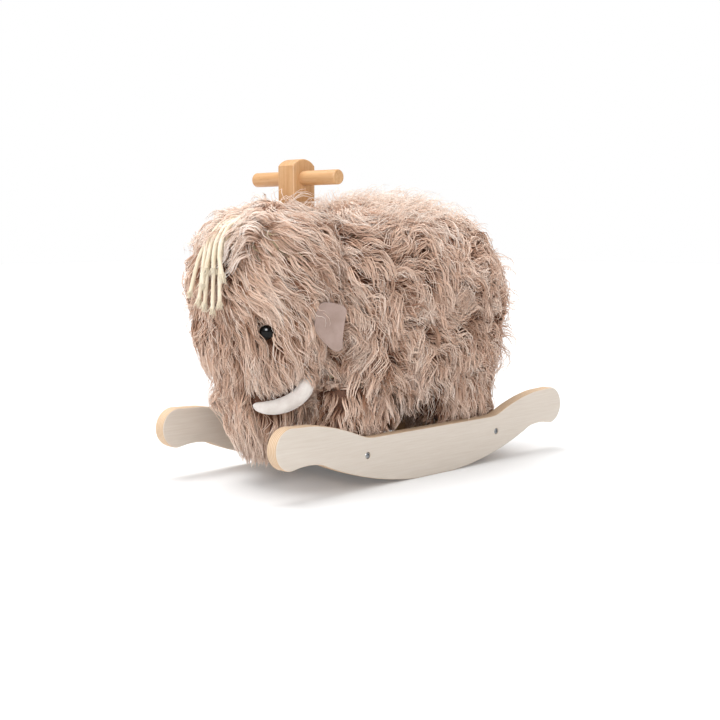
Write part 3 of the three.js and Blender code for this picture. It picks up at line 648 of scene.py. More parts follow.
def body_form(depth):
    """A squarish barrel, flat under the belly and rounded over the back, cut off at the neck."""
    half_height, middle_z = (BODY_TOP - BODY_BOTTOM) / 2 - depth, (BODY_TOP + BODY_BOTTOM) / 2
    rings = []
    for angle in np.radians(np.linspace(-STEEPEST, STEEPEST, BODY_RINGS)):
        power = 4.6 if angle < 0 else 2.25
        wide = math.cos(angle) ** (2 / power)
        rings.append(ring(BODY_MIDDLE, middle_z + half_height * float(bent(np.sin(angle), power)),
                          (BODY_HALF[0] - depth) * wide, (BODY_HALF[1] - depth) * wide,
                          3.9 - 0.7 * max(math.sin(angle), 0.0)))
    for level in rings:
        level[:, 1] = np.maximum(level[:, 1], seam(level[:, 2]) + SEAM_GAP)
    return stack_rings(rings)


print(f"the neck's seam runs from y {seam(BODY_TOP):.3f} at the top to {seam(BODY_BOTTOM):.3f} at the belly")

# %% The head and trunk form
HEAD_MIDDLE_Y, HEAD_HALF = -0.206, (0.110, 0.091)
HEAD_TOP, TRUNK_TOP, TRUNK_TIP = 0.388, 0.115, 0.030
HEAD_RINGS, TRUNK_RINGS = 46, 20
# height, share of the half width, share of the half depth, and how far back the row's middle lies
HEAD_ROWS = np.array([
    [0.030, 0.13, 0.13, 0.021], [0.040, 0.24, 0.25, 0.015], [0.055, 0.32, 0.33, 0.004],
    [0.075, 0.39, 0.41, -0.003], [0.095, 0.46, 0.48, -0.009], [0.115, 0.54, 0.57, -0.005],
    [0.135, 0.64, 0.66, 0.0], [0.160, 0.75, 0.77, 0.005], [0.185, 0.84, 0.86, 0.006],
    [0.210, 0.91, 0.92, 0.005], [0.245, 0.98, 0.98, 0.001], [0.270, 1.0, 1.0, 0.0],
    [0.300, 0.98, 0.985, 0.001], [0.326, 0.89, 0.92, 0.003], [0.342, 0.79, 0.83, 0.011],
    [0.357, 0.64, 0.68, 0.024], [0.374, 0.44, 0.48, 0.030], [0.3815, 0.31, 0.35, 0.032],
    [0.388, 0.16, 0.18, 0.033]])


def head_rings(depth, low, high, count):
    """Rings between two heights, this depth inside the pile's surface."""
    rings = []
    for z in np.linspace(low, high, count):
        wide, deep, back = (np.interp(z, HEAD_ROWS[:, 0], HEAD_ROWS[:, k]) for k in (1, 2, 3))
        half_x, half_y = wide * HEAD_HALF[0], deep * HEAD_HALF[1]
        wall = min(depth, 0.45 * min(half_x, half_y))
        rings.append(ring((0.0, HEAD_MIDDLE_Y + back), z, half_x - wall, half_y - wall, 2.6))
    return rings


def head_form(depth):
    """From a little below the trunk's top, so that the two overlap, up to the crown."""
    rings = head_rings(depth, TRUNK_TOP - 4 * MM, HEAD_TOP - depth, HEAD_RINGS)
    for level in rings:
        level[:, 1] = np.minimum(level[:, 1], seam(level[:, 2]) - SEAM_GAP)
    return stack_rings(rings)


def trunk_form(depth):
    return stack_rings(head_rings(depth, TRUNK_TIP + depth, TRUNK_TOP, TRUNK_RINGS))


print(f"the head is {2 * HEAD_HALF[0]:.3f} m wide and {2 * HEAD_HALF[1]:.3f} m deep at its widest")

# %% The leg forms
LEG_X, LEG_HALF_X = 0.0745, 0.0345
LEG_BOTTOM, LEG_TOP = 0.0662, 0.132
LEG_SPANS = {"front": (-0.173, -0.057), "rear": (0.034, 0.160)}
# height over the leg's bottom, and share of the full width and depth: the foot is rounded under
LEG_ROWS = [(0, 0.82), (0.004, 0.95), (0.012, 1), (0.04, 1), (0.0658, 1)]


def leg_form(depth, end, side):
    """A short squarish post. Its lowest ring is 2 mm up, clear of the wood below it."""
    ahead, behind = LEG_SPANS[end]
    rings = []
    for up, share in LEG_ROWS:
        rings.append(ring((side * LEG_X, (ahead + behind) / 2), up + LEG_BOTTOM + 0.002 * (up == 0),
                          (LEG_HALF_X - depth) * share, ((behind - ahead) / 2 - depth) * share, 5.0))
    return stack_rings(rings)


# %% Make the forms
LEG_DEPTH, TRUNK_DEPTH = 7 * MM, 0.010
forms = {"body": body_form(BACKING_DEPTH), "head": head_form(BACKING_DEPTH), "trunk": trunk_form(TRUNK_DEPTH)}
for end in LEG_SPANS:
    for side_name, side in SIDES:
        forms[f"leg_{end}_{side_name}"] = leg_form(LEG_DEPTH, end, side)
for form_name, (points, faces) in forms.items():
    made = faces_out(piece(f"{form_name}_backing", points, faces, backing))
    node = form_name if form_name.startswith("leg") else f"{form_name}_cover"
    belongs(made, TOY, "plush", node)
    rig.padded(made, fill=0.95)

# %% One surface for combing
hide_points, hide_faces = [], []
for points, faces in forms.values():
    shift = len(hide_points)
    hide_points += [tuple(p) for p in points]
    hide_faces += [tuple(k + shift for k in face) for face in faces]
hide = BVHTree.FromPolygons(hide_points, hide_faces)
single = {name: BVHTree.FromPolygons([tuple(p) for p in points], faces)
          for name, (points, faces) in forms.items()}
print("combed over:", ", ".join(forms))


def nearest(tree, points):
    """The nearest place on a surface to each point, and the surface's outward direction there."""
    found = [tree.find_nearest(Vector(p)) for p in points]
    return np.array([f[0] for f in found]), np.array([f[1] for f in found])


MOST_CROSSINGS, RAY_NUDGE = 20, 0.01 * MM


def inside(tree, points):
    """True for points that a closed form holds: a ray from there leaves it an odd number of times."""
    direction, result = Vector((0.31, 0.17, 0.93)).normalized(), []
    for p in points:
        hit, crossings = tree.ray_cast(Vector(p), direction)[0], 0
        while hit is not None and crossings < MOST_CROSSINGS:
            crossings += 1
            hit = tree.ray_cast(hit + direction * RAY_NUDGE, direction)[0]
        result.append(crossings % 2 == 1)
    return np.array(result)


# %% [markdown]
# ## Combing
# Every lock starts on the backing and is walked along in steps. At each step it turns towards the
# nap's direction at that place, and towards its own layer's height over the backing, so it lies on the
# form as combed fur does. The head is combed smooth, down and back from the crown. The body is left
# tangled: whorls and slow swirls turn the nap, and the locks themselves wave. Fur can also be combed by
# hand, with brushes, but a rule for each part is shorter and gives the same coat each time.

# %% The nap
UP = np.array([0.0, 0.0, 1.0])
SWIRL_SEED = 21  # noise vectors are offset by a random amount, which otherwise comes from the clock
noise.seed_set(SWIRL_SEED)


def unit(vectors):
    """The same directions, one metre long."""
    return vectors / np.maximum(np.linalg.norm(vectors, axis=-1, keepdims=True), 1e-9)


def swirl(points, size, seed):
    """A slowly turning direction at each point, from noise with this wavelength."""
    offset = Vector((seed * 1.7, seed * 3.1, seed * 0.9))
    return np.array([noise.noise_vector(Vector(p) / size + offset) for p in points])


def drift(points, size, seed):
    """A number between about -1 and 1 that changes slowly from place to place."""
    offset = Vector((seed * 2.3, seed * 0.7, seed * 1.9))
    return np.array([noise.noise(Vector(p) / size + offset) for p in points])


def smoothstep(low, high, values):
    """Rises softly from 0 at low to 1 at high, which may also lie below low."""
    t = np.clip((values - low) / (high - low), 0, 1)
    return t * t * (3 - 2 * t)


def round_the_side(points, normals):
    """The level direction along the surface, from the front's middle to the back."""
    sign = np.where(points[:, 0] < 0, -1.0, 1.0)
    return unit(np.stack([-normals[:, 1] * sign, normals[:, 0] * sign, 0 * sign], axis=1))


def head_nap(points, normals):
    """Down over the face, and back round the cheeks, the crown and the neck."""
    z = points[:, 2]
    aside = smoothstep(0.0, 0.05, np.abs(points[:, 0]))
    neck = smoothstep(-0.225, -0.185, points[:, 1]) * (1 - smoothstep(0.17, 0.26, z))
    back = aside * (0.15 + 0.95 * smoothstep(0.17, 0.26, z) + 0.6 * neck)
    nap = -UP[None] + back[:, None] * round_the_side(points, normals)
    return nap + 0.4 * swirl(points, 0.045, 3) + 0.3 * swirl(points, 0.02, 4)


def trunk_nap(points, normals):
    """Straight down."""
    return -UP[None] + 0.2 * swirl(points, 0.05, 5)


WHORLS = [  # place, reach, outward pull, turning pull
    ((0.118, -0.075, 0.268), 0.045, 1.6, 0.5),
    ((0.118, 0.055, 0.245), 0.040, -1.2, 1.2),
    ((0.100, 0.020, 0.345), 0.050, 0.9, -1.0),
    ((0.118, 0.130, 0.200), 0.050, 0.4, 1.4),
    ((-0.118, -0.050, 0.280), 0.050, 1.5, -0.6),
    ((-0.118, 0.080, 0.230), 0.045, -1.0, -1.2),
    ((-0.090, 0.030, 0.345), 0.050, 0.9, 1.0),
    ((0.0, 0.215, 0.290), 0.060, 1.2, 0.8),
]


def body_nap(points, normals):
    """Down and back along the flanks, and back over the top, with whorls and swirls."""
    level = round_the_side(points, normals)
    top = smoothstep(0.33, 0.38, points[:, 2])[:, None]
    chest = smoothstep(-0.09, -0.13, points[:, 1]) * smoothstep(0.24, 0.18, points[:, 2])
    sideways = (1.15 - 0.95 * chest) * (0.2 + 0.8 * smoothstep(0.13, 0.2, points[:, 2]))
    nap = -UP[None] * (0.7 - 0.25 * top) + sideways[:, None] * level + top * np.array([0, 0.6, 0])
    for place, reach, outward, turning in WHORLS:
        away = points - np.array(place)
        near = np.exp(-np.sum(away ** 2, axis=1) / reach ** 2)[:, None]
        nap = nap + near * (outward * unit(away) + turning * np.cross(normals, unit(away)))
    loose = smoothstep(0.12, 0.22, points[:, 2])[:, None]
    return nap + (0.6 + 1.5 * loose) * swirl(points, 0.055, 11) + 1.1 * loose * swirl(points, 0.03, 17)


def leg_nap(points, normals):
    """Down, and spread outwards over the foot."""
    outward = np.stack([normals[:, 0], normals[:, 1], 0 * normals[:, 0]], axis=1)
    low = smoothstep(LEG_TOP, LEG_BOTTOM, points[:, 2])[:, None]
    return -UP[None] + (0.25 + 0.5 * low) * outward + 0.7 * swirl(points, 0.04, 23)


print(f"{len(WHORLS)} whorls turn the body's nap")

# %% What the fur goes round
EYE_PLACE, EYE_OUT = np.array([0.07304, -0.26697, 0.21546]), unit(np.array([0.59, -0.77, -0.25]))
EYE_RADIUS = 9.5 * MM
TUSK_MARKS = (np.array([[0, 0, 0], [-1, -9, -20], [-9, -23, -33], [-23, -37, -40], [-36, -49, -41],
                        [-47, -57, -38]]) + np.array([83.05, -203.0, 155.13])) * MM
TUSK_RADIUS = 11 * MM
# distance from the toy's middle, and height, along the rocker's upper edge
LEDGE = np.array([[0.124, 0.069], [0.136, 0.0702], [0.146, 0.0732], [0.158, 0.0776], [0.170, 0.082],
                  [0.185, 0.0866], [0.200, 0.0906], [0.215, 0.0938], [0.232, 0.0966],
                  [0.272, 0.0987], [0.3, 0.0987]])
ROCKER_X = (0.1075, 0.1295)
BAR_Y = -0.148  # the handle's post and bar
POST_CLEAR = 0.019  # how far from the middle the fur passes the post
tusk_line, _ = smooth_path(TUSK_MARKS, 24)
TUSK_COVERED = 5  # of the line's 24 marks, from its root: fur lies over this much
TUSK_TIP = 15  # the right tusk is covered again from this mark on
EAR_MIDDLE, EAR_CLEAR = np.array([0.1125, -0.192, 0.221]), np.array([0.015, 0.028])
EYE_REACH, TUSK_REACH = EYE_RADIUS + 0.8 * MM, TUSK_RADIUS + 1 * MM  # how near the fur comes
print(f"left eye at {EYE_PLACE.round(3)}, left tusk's tip at {tusk_line[-1].round(3)}")


def mirrored(points):
    """The points on the left, or their mirror images there."""
    return np.stack([np.abs(points[:, 0]), points[:, 1], points[:, 2]], axis=1)


def at_post(points, half_x, half_y):
    """True for points near the handle's post."""
    return (np.abs(points[:, 0]) < half_x) & (np.abs(points[:, 1] - BAR_Y) < half_y)


def go_round(points):
    """Moves points out of the wooden parts, away from the eyes and off the tusks' covered ends."""
    sign = np.where(points[:, 0] < 0, -1.0, 1.0)
    near = mirrored(points)
    away = near - EYE_PLACE
    away -= (away @ EYE_OUT)[:, None] * EYE_OUT
    gap = np.linalg.norm(away, axis=1)
    close = (gap < EYE_REACH) & (np.linalg.norm(near - EYE_PLACE, axis=1) < 0.03)
    near[close] += (unit(away) * (EYE_REACH - gap)[:, None])[close]
    for marks, outward, right_only in ((tusk_line[:TUSK_COVERED], (0.01, 0, 0), False),
                                       (tusk_line[TUSK_TIP:], (0.003, -0.01, 0), True)):
        from_marks = near[:, None, :] - marks[None]
        apart = np.linalg.norm(from_marks, axis=2)
        first = apart.argmin(axis=1)
        apart, from_mark = apart[np.arange(len(near)), first], from_marks[np.arange(len(near)), first]
        under = (apart < TUSK_REACH) & ((sign < 0) | (not right_only))
        lifted = unit(from_mark * 0.3 + np.array(outward))
        near[under] += (lifted * (TUSK_REACH - apart)[:, None])[under]
    over = near[:, 0] > ROCKER_X[0]
    ledge = np.interp(np.abs(near[:, 1]), LEDGE[:, 0], LEDGE[:, 1]) + 1.2 * MM
    ledge -= 5 * MM * (near[:, 0] > ROCKER_X[1])
    near[over, 2] = np.maximum(near[over, 2], ledge[over])
    in_post = at_post(near, POST_CLEAR, 0.023) & (near[:, 2] > 0.37)
    near[in_post, 0] = POST_CLEAR
    near[:, 0] *= sign
    return near


def all_round(paths):
    """Takes every mark of every lock out of what go_round keeps clear."""
    return np.stack([go_round(paths[:, k]) for k in range(paths.shape[1])], axis=1)


def blocked(paths):
    """Where a lock would cover an eye, a tusk or an ear."""
    flat = mirrored(paths.reshape(-1, 3))
    away = flat - EYE_PLACE
    rise = away @ EYE_OUT
    gap = np.linalg.norm(away - rise[:, None] * EYE_OUT, axis=1)
    eye = (gap < EYE_RADIUS - 0.3 * MM) & (rise > -0.012) & (rise < 0.04)
    on_right = paths.reshape(-1, 3)[:, 0] < 0
    tusk = np.zeros(len(flat), bool)
    for bare, here in ((tusk_line[TUSK_COVERED:], ~on_right), (tusk_line[TUSK_COVERED:TUSK_TIP], on_right)):
        reach = np.linalg.norm(flat[:, None, :] - bare[None], axis=2).min(axis=1)
        view = np.linalg.norm(flat[:, None, 1:] - bare[None, :, 1:], axis=2).min(axis=1)
        over = (view < 0.5 * TUSK_RADIUS) & (flat[:, 0] > 0.04) & (reach < 0.035)
        tusk |= here & ((reach < TUSK_RADIUS - 1 * MM) | over)
    over_ear = np.sum(((flat[:, 1:] - EAR_MIDDLE[1:]) / EAR_CLEAR) ** 2, axis=1) < 1
    ear = over_ear & (flat[:, 0] > EAR_MIDDLE[0]) & (flat[:, 0] < EAR_MIDDLE[0] + 0.04)
    return (eye | tusk | ear).reshape(paths.shape[:2])


# %% Walk the locks
chance = np.random.default_rng(41)  # every draw comes from here, in the order of the cells


def comb(roots, normals, nap, length, height, marks=9, hem=-1.0):
    """The paths of locks that start at the roots and lie in the nap, each at its own height.

    Each path has this many marks. Below the height of the hem the locks hang free.
    """
    here = roots - normals * 2 * MM
    paths, out = [here], [normals]
    step = (length / (marks - 1))[:, None]
    heading = unit(normals)
    for _ in range(1, marks):
        place, normal = nearest(hide, here)
        over = np.einsum("ij,ij->i", here - place, normal)
        wanted = nap(place, normal)
        away = np.einsum("ij,ij->i", unit(wanted), normal)
        # past a lower edge the fur leaves the form and hangs free; a strong swirl on a side lifts it too
        lifted = 0.6 * smoothstep(0.45, 0.75, away) * smoothstep(0.16, 0.10, place[:, 1])
        lifted *= smoothstep(0.36, 0.31, place[:, 2]) * smoothstep(0.019, 0.012, over)
        hangs = np.maximum(smoothstep(0.45, 0.75, -normal[:, 2]), lifted)
        hangs = np.maximum(hangs, smoothstep(hem + 0.02, hem, here[:, 2]))
        wanted = unit(unit(wanted) - normal * (away * (1 - hangs))[:, None])
        climb = np.clip((height - over) / step[:, 0], -0.7, 1.6)
        climb = np.where(hangs > 0, np.maximum(climb, 0) * (1 - hangs), climb)
        wanted = unit(wanted + normal * climb[:, None])
        heading = unit(heading * 0.35 + wanted)
        here = go_round(here + heading * step)
        paths.append(here)
        out.append(normal)
    return np.stack(paths, axis=1), np.stack(out, axis=1)


def wave(paths, out, size, length, loose=0.7):
    """Bends each lock from side to side, more towards its tip, and nearly in step with its neighbours.

    size is how far it bends, length how many waves it has, and loose how far it may be out of step.
    """
    phase = 8 * drift(paths[:, 0], 0.032, 7) + chance.uniform(-loose, loose, len(paths))
    along = unit(np.gradient(paths, axis=1))
    aside = unit(np.cross(along, out))
    run = np.linspace(0, 1, paths.shape[1])[None, :, None]
    turn = 2 * np.pi * run * length[:, None, None] + phase[:, None, None]
    grow_in = smoothstep(0.0, 0.4, run)
    return paths + size[:, None, None] * grow_in * (
        aside * (np.sin(turn) - np.sin(phase)[:, None, None]) + 0.5 * out * np.cos(turn))


SHORTEST_LOCK = 1.2  # in steps from mark to mark: a lock that ends sooner isn't grown


def cut_short(paths):
    """Ends each lock where something blocks it. Locks that would be too short are None."""
    count = paths.shape[1]
    fine = np.linspace(0, count - 1, 4 * (count - 1) + 1)
    low = np.minimum(fine.astype(int), count - 2)
    part = (fine - low)[None, :, None]
    stop = blocked(paths[:, low] * (1 - part) + paths[:, low + 1] * part)
    reach = np.where(stop.any(axis=1), fine[np.maximum(stop.argmax(axis=1) - 1, 0)], count - 1)
    kept = []
    for path, end in zip(paths, reach):
        if end < SHORTEST_LOCK:
            kept.append(None)
            continue
        share = np.linspace(0, end, count)
        kept.append(np.stack([np.interp(share, np.arange(count), path[:, k]) for k in range(3)], axis=1))
    return kept


# %% Scatter the roots
TRIES_PER_ROOT = 7


def scatter(name, gap, keep):
    """Roots spread evenly over a form, at least a gap apart, where keep(points) is true."""
    points, faces = forms[name]
    corners = np.array([[points[f[0]], points[f[k]], points[f[k + 1]]]
                        for f in faces for k in range(1, len(f) - 1)])
    cross = np.cross(corners[:, 1] - corners[:, 0], corners[:, 2] - corners[:, 0])
    area = np.linalg.norm(cross, axis=1) / 2
    tries = int(area.sum() / gap ** 2 * TRIES_PER_ROOT)
    picked = chance.choice(len(area), tries, p=area / area.sum())
    a, b = chance.random((2, tries, 1))
    fold = a + b > 1
    a, b = np.where(fold, 1 - a, a), np.where(fold, 1 - b, b)
    corner = corners[picked]
    places = corner[:, 0] + a * (corner[:, 1] - corner[:, 0]) + b * (corner[:, 2] - corner[:, 0])
    places = places[keep(places)]
    cells, roots = {}, []
    for p in places:
        cell = tuple(np.floor(p / gap).astype(int))
        around = [q for dx in (-1, 0, 1) for dy in (-1, 0, 1) for dz in (-1, 0, 1)
                  for q in cells.get((cell[0] + dx, cell[1] + dy, cell[2] + dz), ())]
        if all(np.sum((p - q) ** 2) > gap ** 2 for q in around):
            cells.setdefault(cell, []).append(p)
            roots.append(p)
    roots = np.array(roots)
    return roots, nearest(single[name], roots)[1]


SEWN = 4 * MM  # two forms are sewn together where they are this close


def outside(*names):
    """True for points that none of these forms hold, and that aren't sewn against one of them."""
    def test(points):
        result = np.ones(len(points), bool)
        for name in names:
            for shift in (0, -SEWN, SEWN):
                result &= ~inside(single[name], points + np.array([0, shift, 0]))
        return result
    return test


print(f"{len(hide_faces)} faces of backing to comb over")

# %% [markdown]
# ## The fur
# Long-pile acrylic fur: soft fibres, painted pale towards their ends where the light falls on them, and
# dark towards the backing as painted shade deep in the pile. A real pelt has far more and finer fibres,
# so each strand stands for a few dozen, has three sides only, and is grown region by region, to keep
# every piece small. The colour is read from the strand's own UV map: across it the strand's tone, with
# painted light and shade added in, up it the run from root to tip. It has no pattern in millimetres,
# because each strand is real geometry.

# %% Acrylic pile
pile, tree, shader = finish("long acrylic pile", 0.62, Sheen_Weight=0.12, Sheen_Roughness=0.4,
                            Sheen_Tint=srgb("F6DCC8"), Specular_IOR_Level=0.04)
strand_map = add(tree, "ShaderNodeUVMap", uv_map=STRAND_MAP)
tone_run = add(tree, "ShaderNodeSeparateXYZ", {"Vector": strand_map.outputs["UV"]})
# each ramp's colour at the root, a quarter up, past the middle and at the tip, darker towards the root
# as painted shade deep in the pile. Low tones take the first ramp, whose darkness is partly painted
# shade; the last is a painted highlight, which only the tops of the fur and a few strands reach
dark, warm, painted_highlight = (
    add(tree, "ShaderNodeValToRGB", {"Fac": tone_run.outputs["Y"]},
        stops=zip((0.0, 0.25, 0.6, 1.0), colours)).outputs["Color"]
    for colours in (("44200E", "7C4F36", "B68C72", "CDAB95"),
                    ("8A5236", "EAC6AE", "FFE6D4", "FFEEE1"),
                    ("BE977C", "F4DDCC", "FFF1E6", "FFF7F0")))
to_warm = add(tree, "ShaderNodeMapRange", {"Value": tone_run.outputs["X"], "From Max": 0.8})
# above a tone of 0.75 a strand turns to the painted highlight
to_painted_highlight = add(tree, "ShaderNodeMapRange", {"Value": tone_run.outputs["X"], "From Min": 0.75})
warmer = add(tree, "ShaderNodeMix", {
    "Factor": to_warm.outputs["Result"], "A": dark, "B": warm}, data_type="RGBA")
highlighted = add(tree, "ShaderNodeMix", {
    "Factor": to_painted_highlight.outputs["Result"], "A": warmer.outputs["Result"], "B": painted_highlight}, data_type="RGBA")
tree.links.new(highlighted.outputs["Result"], shader.inputs["Base Color"])

# %% From paths to fur
FUR_HALF_WIDTH = 0.135


def lock_set(paths, normals, tone, spread):
    """The locks that nothing cuts off at the root, as the strand tree reads them."""
    paths[..., 0] = np.clip(paths[..., 0], -FUR_HALF_WIDTH, FUR_HALF_WIDTH)
    kept = cut_short(paths)
    use = np.array([path is not None for path in kept])
    paths = np.array([path for path in kept if path is not None])
    run = np.linspace(0, 1, paths.shape[1])
    spreads = np.array(spread)[use][:, None] * (1 - 0.4 * smoothstep(0.25, 1.0, run))[None]
    return {"path": paths, "normal": normals[use], "tone": tone[use], "spread": spreads}


def furry(name, locks, **sizes):
    """Grows the locks in the pile's finish."""
    belongs(grow(name, locks, pile, **sizes), TOY, "plush")


def furry_regions(locks, regions, first_seed, **sizes):
    """Grows one piece for each region, from the locks that its mask chooses."""
    for number, (region, chosen) in enumerate(regions.items()):
        furry(f"fur_{region}", {key: values[chosen] for key, values in locks.items()},
              **sizes, Seed=first_seed + number)


# %% Grow the body's fur
BODY_HEM = 0.128
BODY_SPLIT_Y, BACK_FROM_Z = 0.04, 0.335  # where one piece of fur meets the next
BODY_STRANDS = {"Strands per lock": 8, "Root radius": 0.85 * MM, "Tip share": 0.35, "Frizz": 5.5 * MM,
                "Frizz scale": 26.0, "Shortest": 0.72}
legs = [name for name in forms if name.startswith("leg")]
roots, normals = scatter("body", 8.2 * MM, outside("head", "trunk", *legs))
# under the belly, most roots are left out, and none grow where the handle's post comes through
under = (normals[:, 2] < -0.7) & (chance.random(len(roots)) < 0.7)
keep = ~(under | at_post(roots, 0.02, 0.026))
roots, normals = roots[keep], normals[keep]
n = len(roots)
top = smoothstep(0.33, 0.37, roots[:, 2])
tuft = (top > 0.4) & (chance.random(n) < 0.35)
length = chance.uniform(0.062, 0.088, n) * (1 - 0.35 * top)
belly = smoothstep(0.165, 0.135, roots[:, 2]) * smoothstep(-0.13, -0.09, roots[:, 1])
belly[(np.abs(roots[:, 0]) > 0.08) & ((roots[:, 1] < -0.055) | (roots[:, 1] > 0.03))] = 0  # over a leg
length *= 1 - 0.62 * belly
layer = chance.random(n)  # 0 in the lowest layer of locks, 1 in the highest
rear = smoothstep(0.10, 0.16, roots[:, 1])
low_rear = rear * smoothstep(0.24, 0.18, roots[:, 2])
height = (2 + 10 * layer) * MM * (1 - 0.4 * top) * (1 - 0.25 * rear) * (1 - 0.5 * low_rear)
height[tuft] = (chance.uniform(8 * MM, 14 * MM, n) * (1 - 0.4 * rear))[tuft]
paths, out = comb(roots, normals, body_nap, length, height, hem=BODY_HEM)
loose = smoothstep(0.10, 0.2, roots[:, 2])
bend = (2.0 + 4.5 * loose) * (1 - 0.3 * top) * (1 - 0.3 * rear)
paths = wave(paths, out, bend * MM * chance.uniform(0.7, 1.5, n), chance.uniform(1.2, 2.0, n))
paths = all_round(paths)
# lower locks are painted darker as shade deep in the pile, the belly's underside darker as painted shade, and the top
# paler as painted light from above; only the top reaches the painted highlight
belly_underside_shade = belly * (np.abs(normals[:, 2]) > 0.5)
tone = 0.13 + 0.64 * layer + chance.normal(0, 0.15, n) + 0.6 * top - 0.9 * belly_underside_shade
tone = np.clip(tone, 0, 0.68 + 0.32 * top)
body_locks = lock_set(paths, normals, tone, chance.uniform(4.5, 6.5, n) * (1 + 0.4 * layer) * MM)
start = body_locks["path"][:, 0]
left, ahead, high = start[:, 0] > 0, start[:, 1] < BODY_SPLIT_Y, start[:, 2] > BACK_FROM_Z
regions = {"back_front": high & ahead, "back_rear": high & ~ahead}
for side_name, here in (("left", left), ("right", ~left)):
    regions[f"side_{side_name}_front"] = ~high & here & ahead
    regions[f"side_{side_name}_rear"] = ~high & here & ~ahead
furry_regions(body_locks, regions, 10, **BODY_STRANDS)

# %% Grow the head's fur
CROWN_FROM_Z = 0.27
HEAD_STRANDS = {"Strands per lock": 9, "Root radius": 0.68 * MM, "Tip share": 0.35, "Frizz": 3.5 * MM,
                "Frizz scale": 26.0, "Shortest": 0.7}
roots, normals = scatter("head", 7.6 * MM, outside("body", "trunk"))
by_eye = np.linalg.norm(mirrored(roots) - EYE_PLACE, axis=1) < 12 * MM
keep = ~(at_post(roots, 0.02, 0.026) | by_eye)
roots, normals = roots[keep], normals[keep]
n = len(roots)
crown = smoothstep(0.34, 0.37, roots[:, 2])
length = chance.uniform(0.062, 0.088, n) * (1 - 0.2 * crown)
layer = chance.random(n)
height = (2 + 8 * layer) * MM * (1 - 0.35 * crown)
# over each eye the fur stands up as a brow, and under the forelock it is kept low
to_eye = mirrored(roots) - EYE_PLACE
brow = (np.linalg.norm(to_eye, axis=1) < 0.035) & (to_eye[:, 0] < -9 * MM) & (to_eye[:, 2] > -0.010)
height[brow] = chance.uniform(12 * MM, 18 * MM, int(brow.sum()))
forelock = (np.abs(roots[:, 0]) < 0.045) & (roots[:, 1] < -0.22) & (
    roots[:, 2] > 0.235) & (roots[:, 2] < 0.375)
height[forelock] = chance.uniform(2 * MM, 7 * MM, int(forelock.sum()))
paths, out = comb(roots, normals, head_nap, length, height)
paths = wave(paths, out, 3.2 * MM * chance.uniform(0.5, 1.4, n), chance.uniform(1.0, 1.7, n))
# lower locks are painted darker as shade deep in the pile, and the crown paler as painted light from above
tone = np.clip(0.13 + 0.5 * layer + chance.normal(0, 0.12, n) + 0.5 * crown, 0, 0.68 + 0.32 * crown)
head_locks = lock_set(paths, normals, tone, chance.uniform(3.6, 5.2, n) * MM)
start = head_locks["path"][:, 0]
left, low = start[:, 0] > 0, start[:, 2] < CROWN_FROM_Z
furry_regions(head_locks, {f"{part}_{side_name}": level & here
                           for part, level in (("face", low), ("crown", ~low))
                           for side_name, here in (("left", left), ("right", ~left))}, 30, **HEAD_STRANDS)

# %% Grow the trunk's fur
roots, normals = scatter("trunk", 7.6 * MM, outside("head"))
n = len(roots)
tip = smoothstep(0.09, 0.04, roots[:, 2])
layer = chance.random(n)
length = np.minimum(chance.uniform(0.05, 0.065, n), np.maximum(roots[:, 2] - 0.024, 0.016))
# towards the right tusk the trunk's fur is brushed out, so that it is wider on that side
brushed_out = smoothstep(0.0, 0.7, -normals[:, 0]) * smoothstep(0.06, 0.09, roots[:, 2])
height = (2 + 7 * layer + 5 * brushed_out) * MM * (1 - 0.5 * tip)
paths, out = comb(roots, normals, trunk_nap, length, height, 8)
paths = wave(paths, out, 2 * MM * chance.uniform(0.5, 1.4, n) * (1 - 0.6 * tip), chance.uniform(0.8, 1.4, n))
# lower locks are painted darker, as shade deep in the pile
tone = np.clip(0.24 + 0.5 * layer + chance.normal(0, 0.12, n), 0, 0.7)
trunk_locks = lock_set(paths, normals, tone, chance.uniform(3.0, 4.5, n) * MM)
furry("fur_trunk", trunk_locks, **{**HEAD_STRANDS, "Frizz": 2.5 * MM}, Seed=51)

# %% Grow the legs' fur
for number, name in enumerate(legs):
    roots, normals = scatter(name, 7.8 * MM, outside("body"))
    side = roots[:, 2] > LEG_BOTTOM + 0.004
    roots, normals = roots[side], normals[side]
    n = len(roots)
    inward = -np.sign(roots[:, 1] + 0.012) * normals[:, 1]  # towards the gap between front and rear legs
    gap_side = smoothstep(0.5, 0.9, inward) * (np.abs(roots[:, 1]) < 0.08)
    layer = chance.random(n) * (1 - 0.6 * gap_side)
    paths, out = comb(roots, normals, leg_nap, chance.uniform(0.032, 0.05, n) * (1 - 0.4 * gap_side),
                      (3 + 7 * layer) * MM, 8)
    paths = wave(paths, out, 3 * MM * chance.uniform(0.5, 1.3, n), chance.uniform(0.8, 1.3, n))
    paths = all_round(paths)
    # the rear legs, the sides towards the gap and the lower locks are painted darker, as shade under the belly and
    # deep in the pile
    shaded = 0.12 if name.startswith("leg_rear") else 0.0
    tone = np.clip(0.1 + 0.5 * layer + chance.normal(0, 0.12, n) - 0.8 * gap_side - shaded, 0, 0.68)
    leg_locks = lock_set(paths, normals, tone, chance.uniform(4, 5.5, n) * MM)
    furry(f"fur_{name}", leg_locks, **BODY_STRANDS, Seed=60 + number)

# %% Let some strands fly away
FLYAWAY = {"Strands per lock": 3, "Root radius": 0.45 * MM, "Tip share": 0.3, "Frizz": 12 * MM,
           "Frizz scale": 30.0, "Shortest": 0.6}


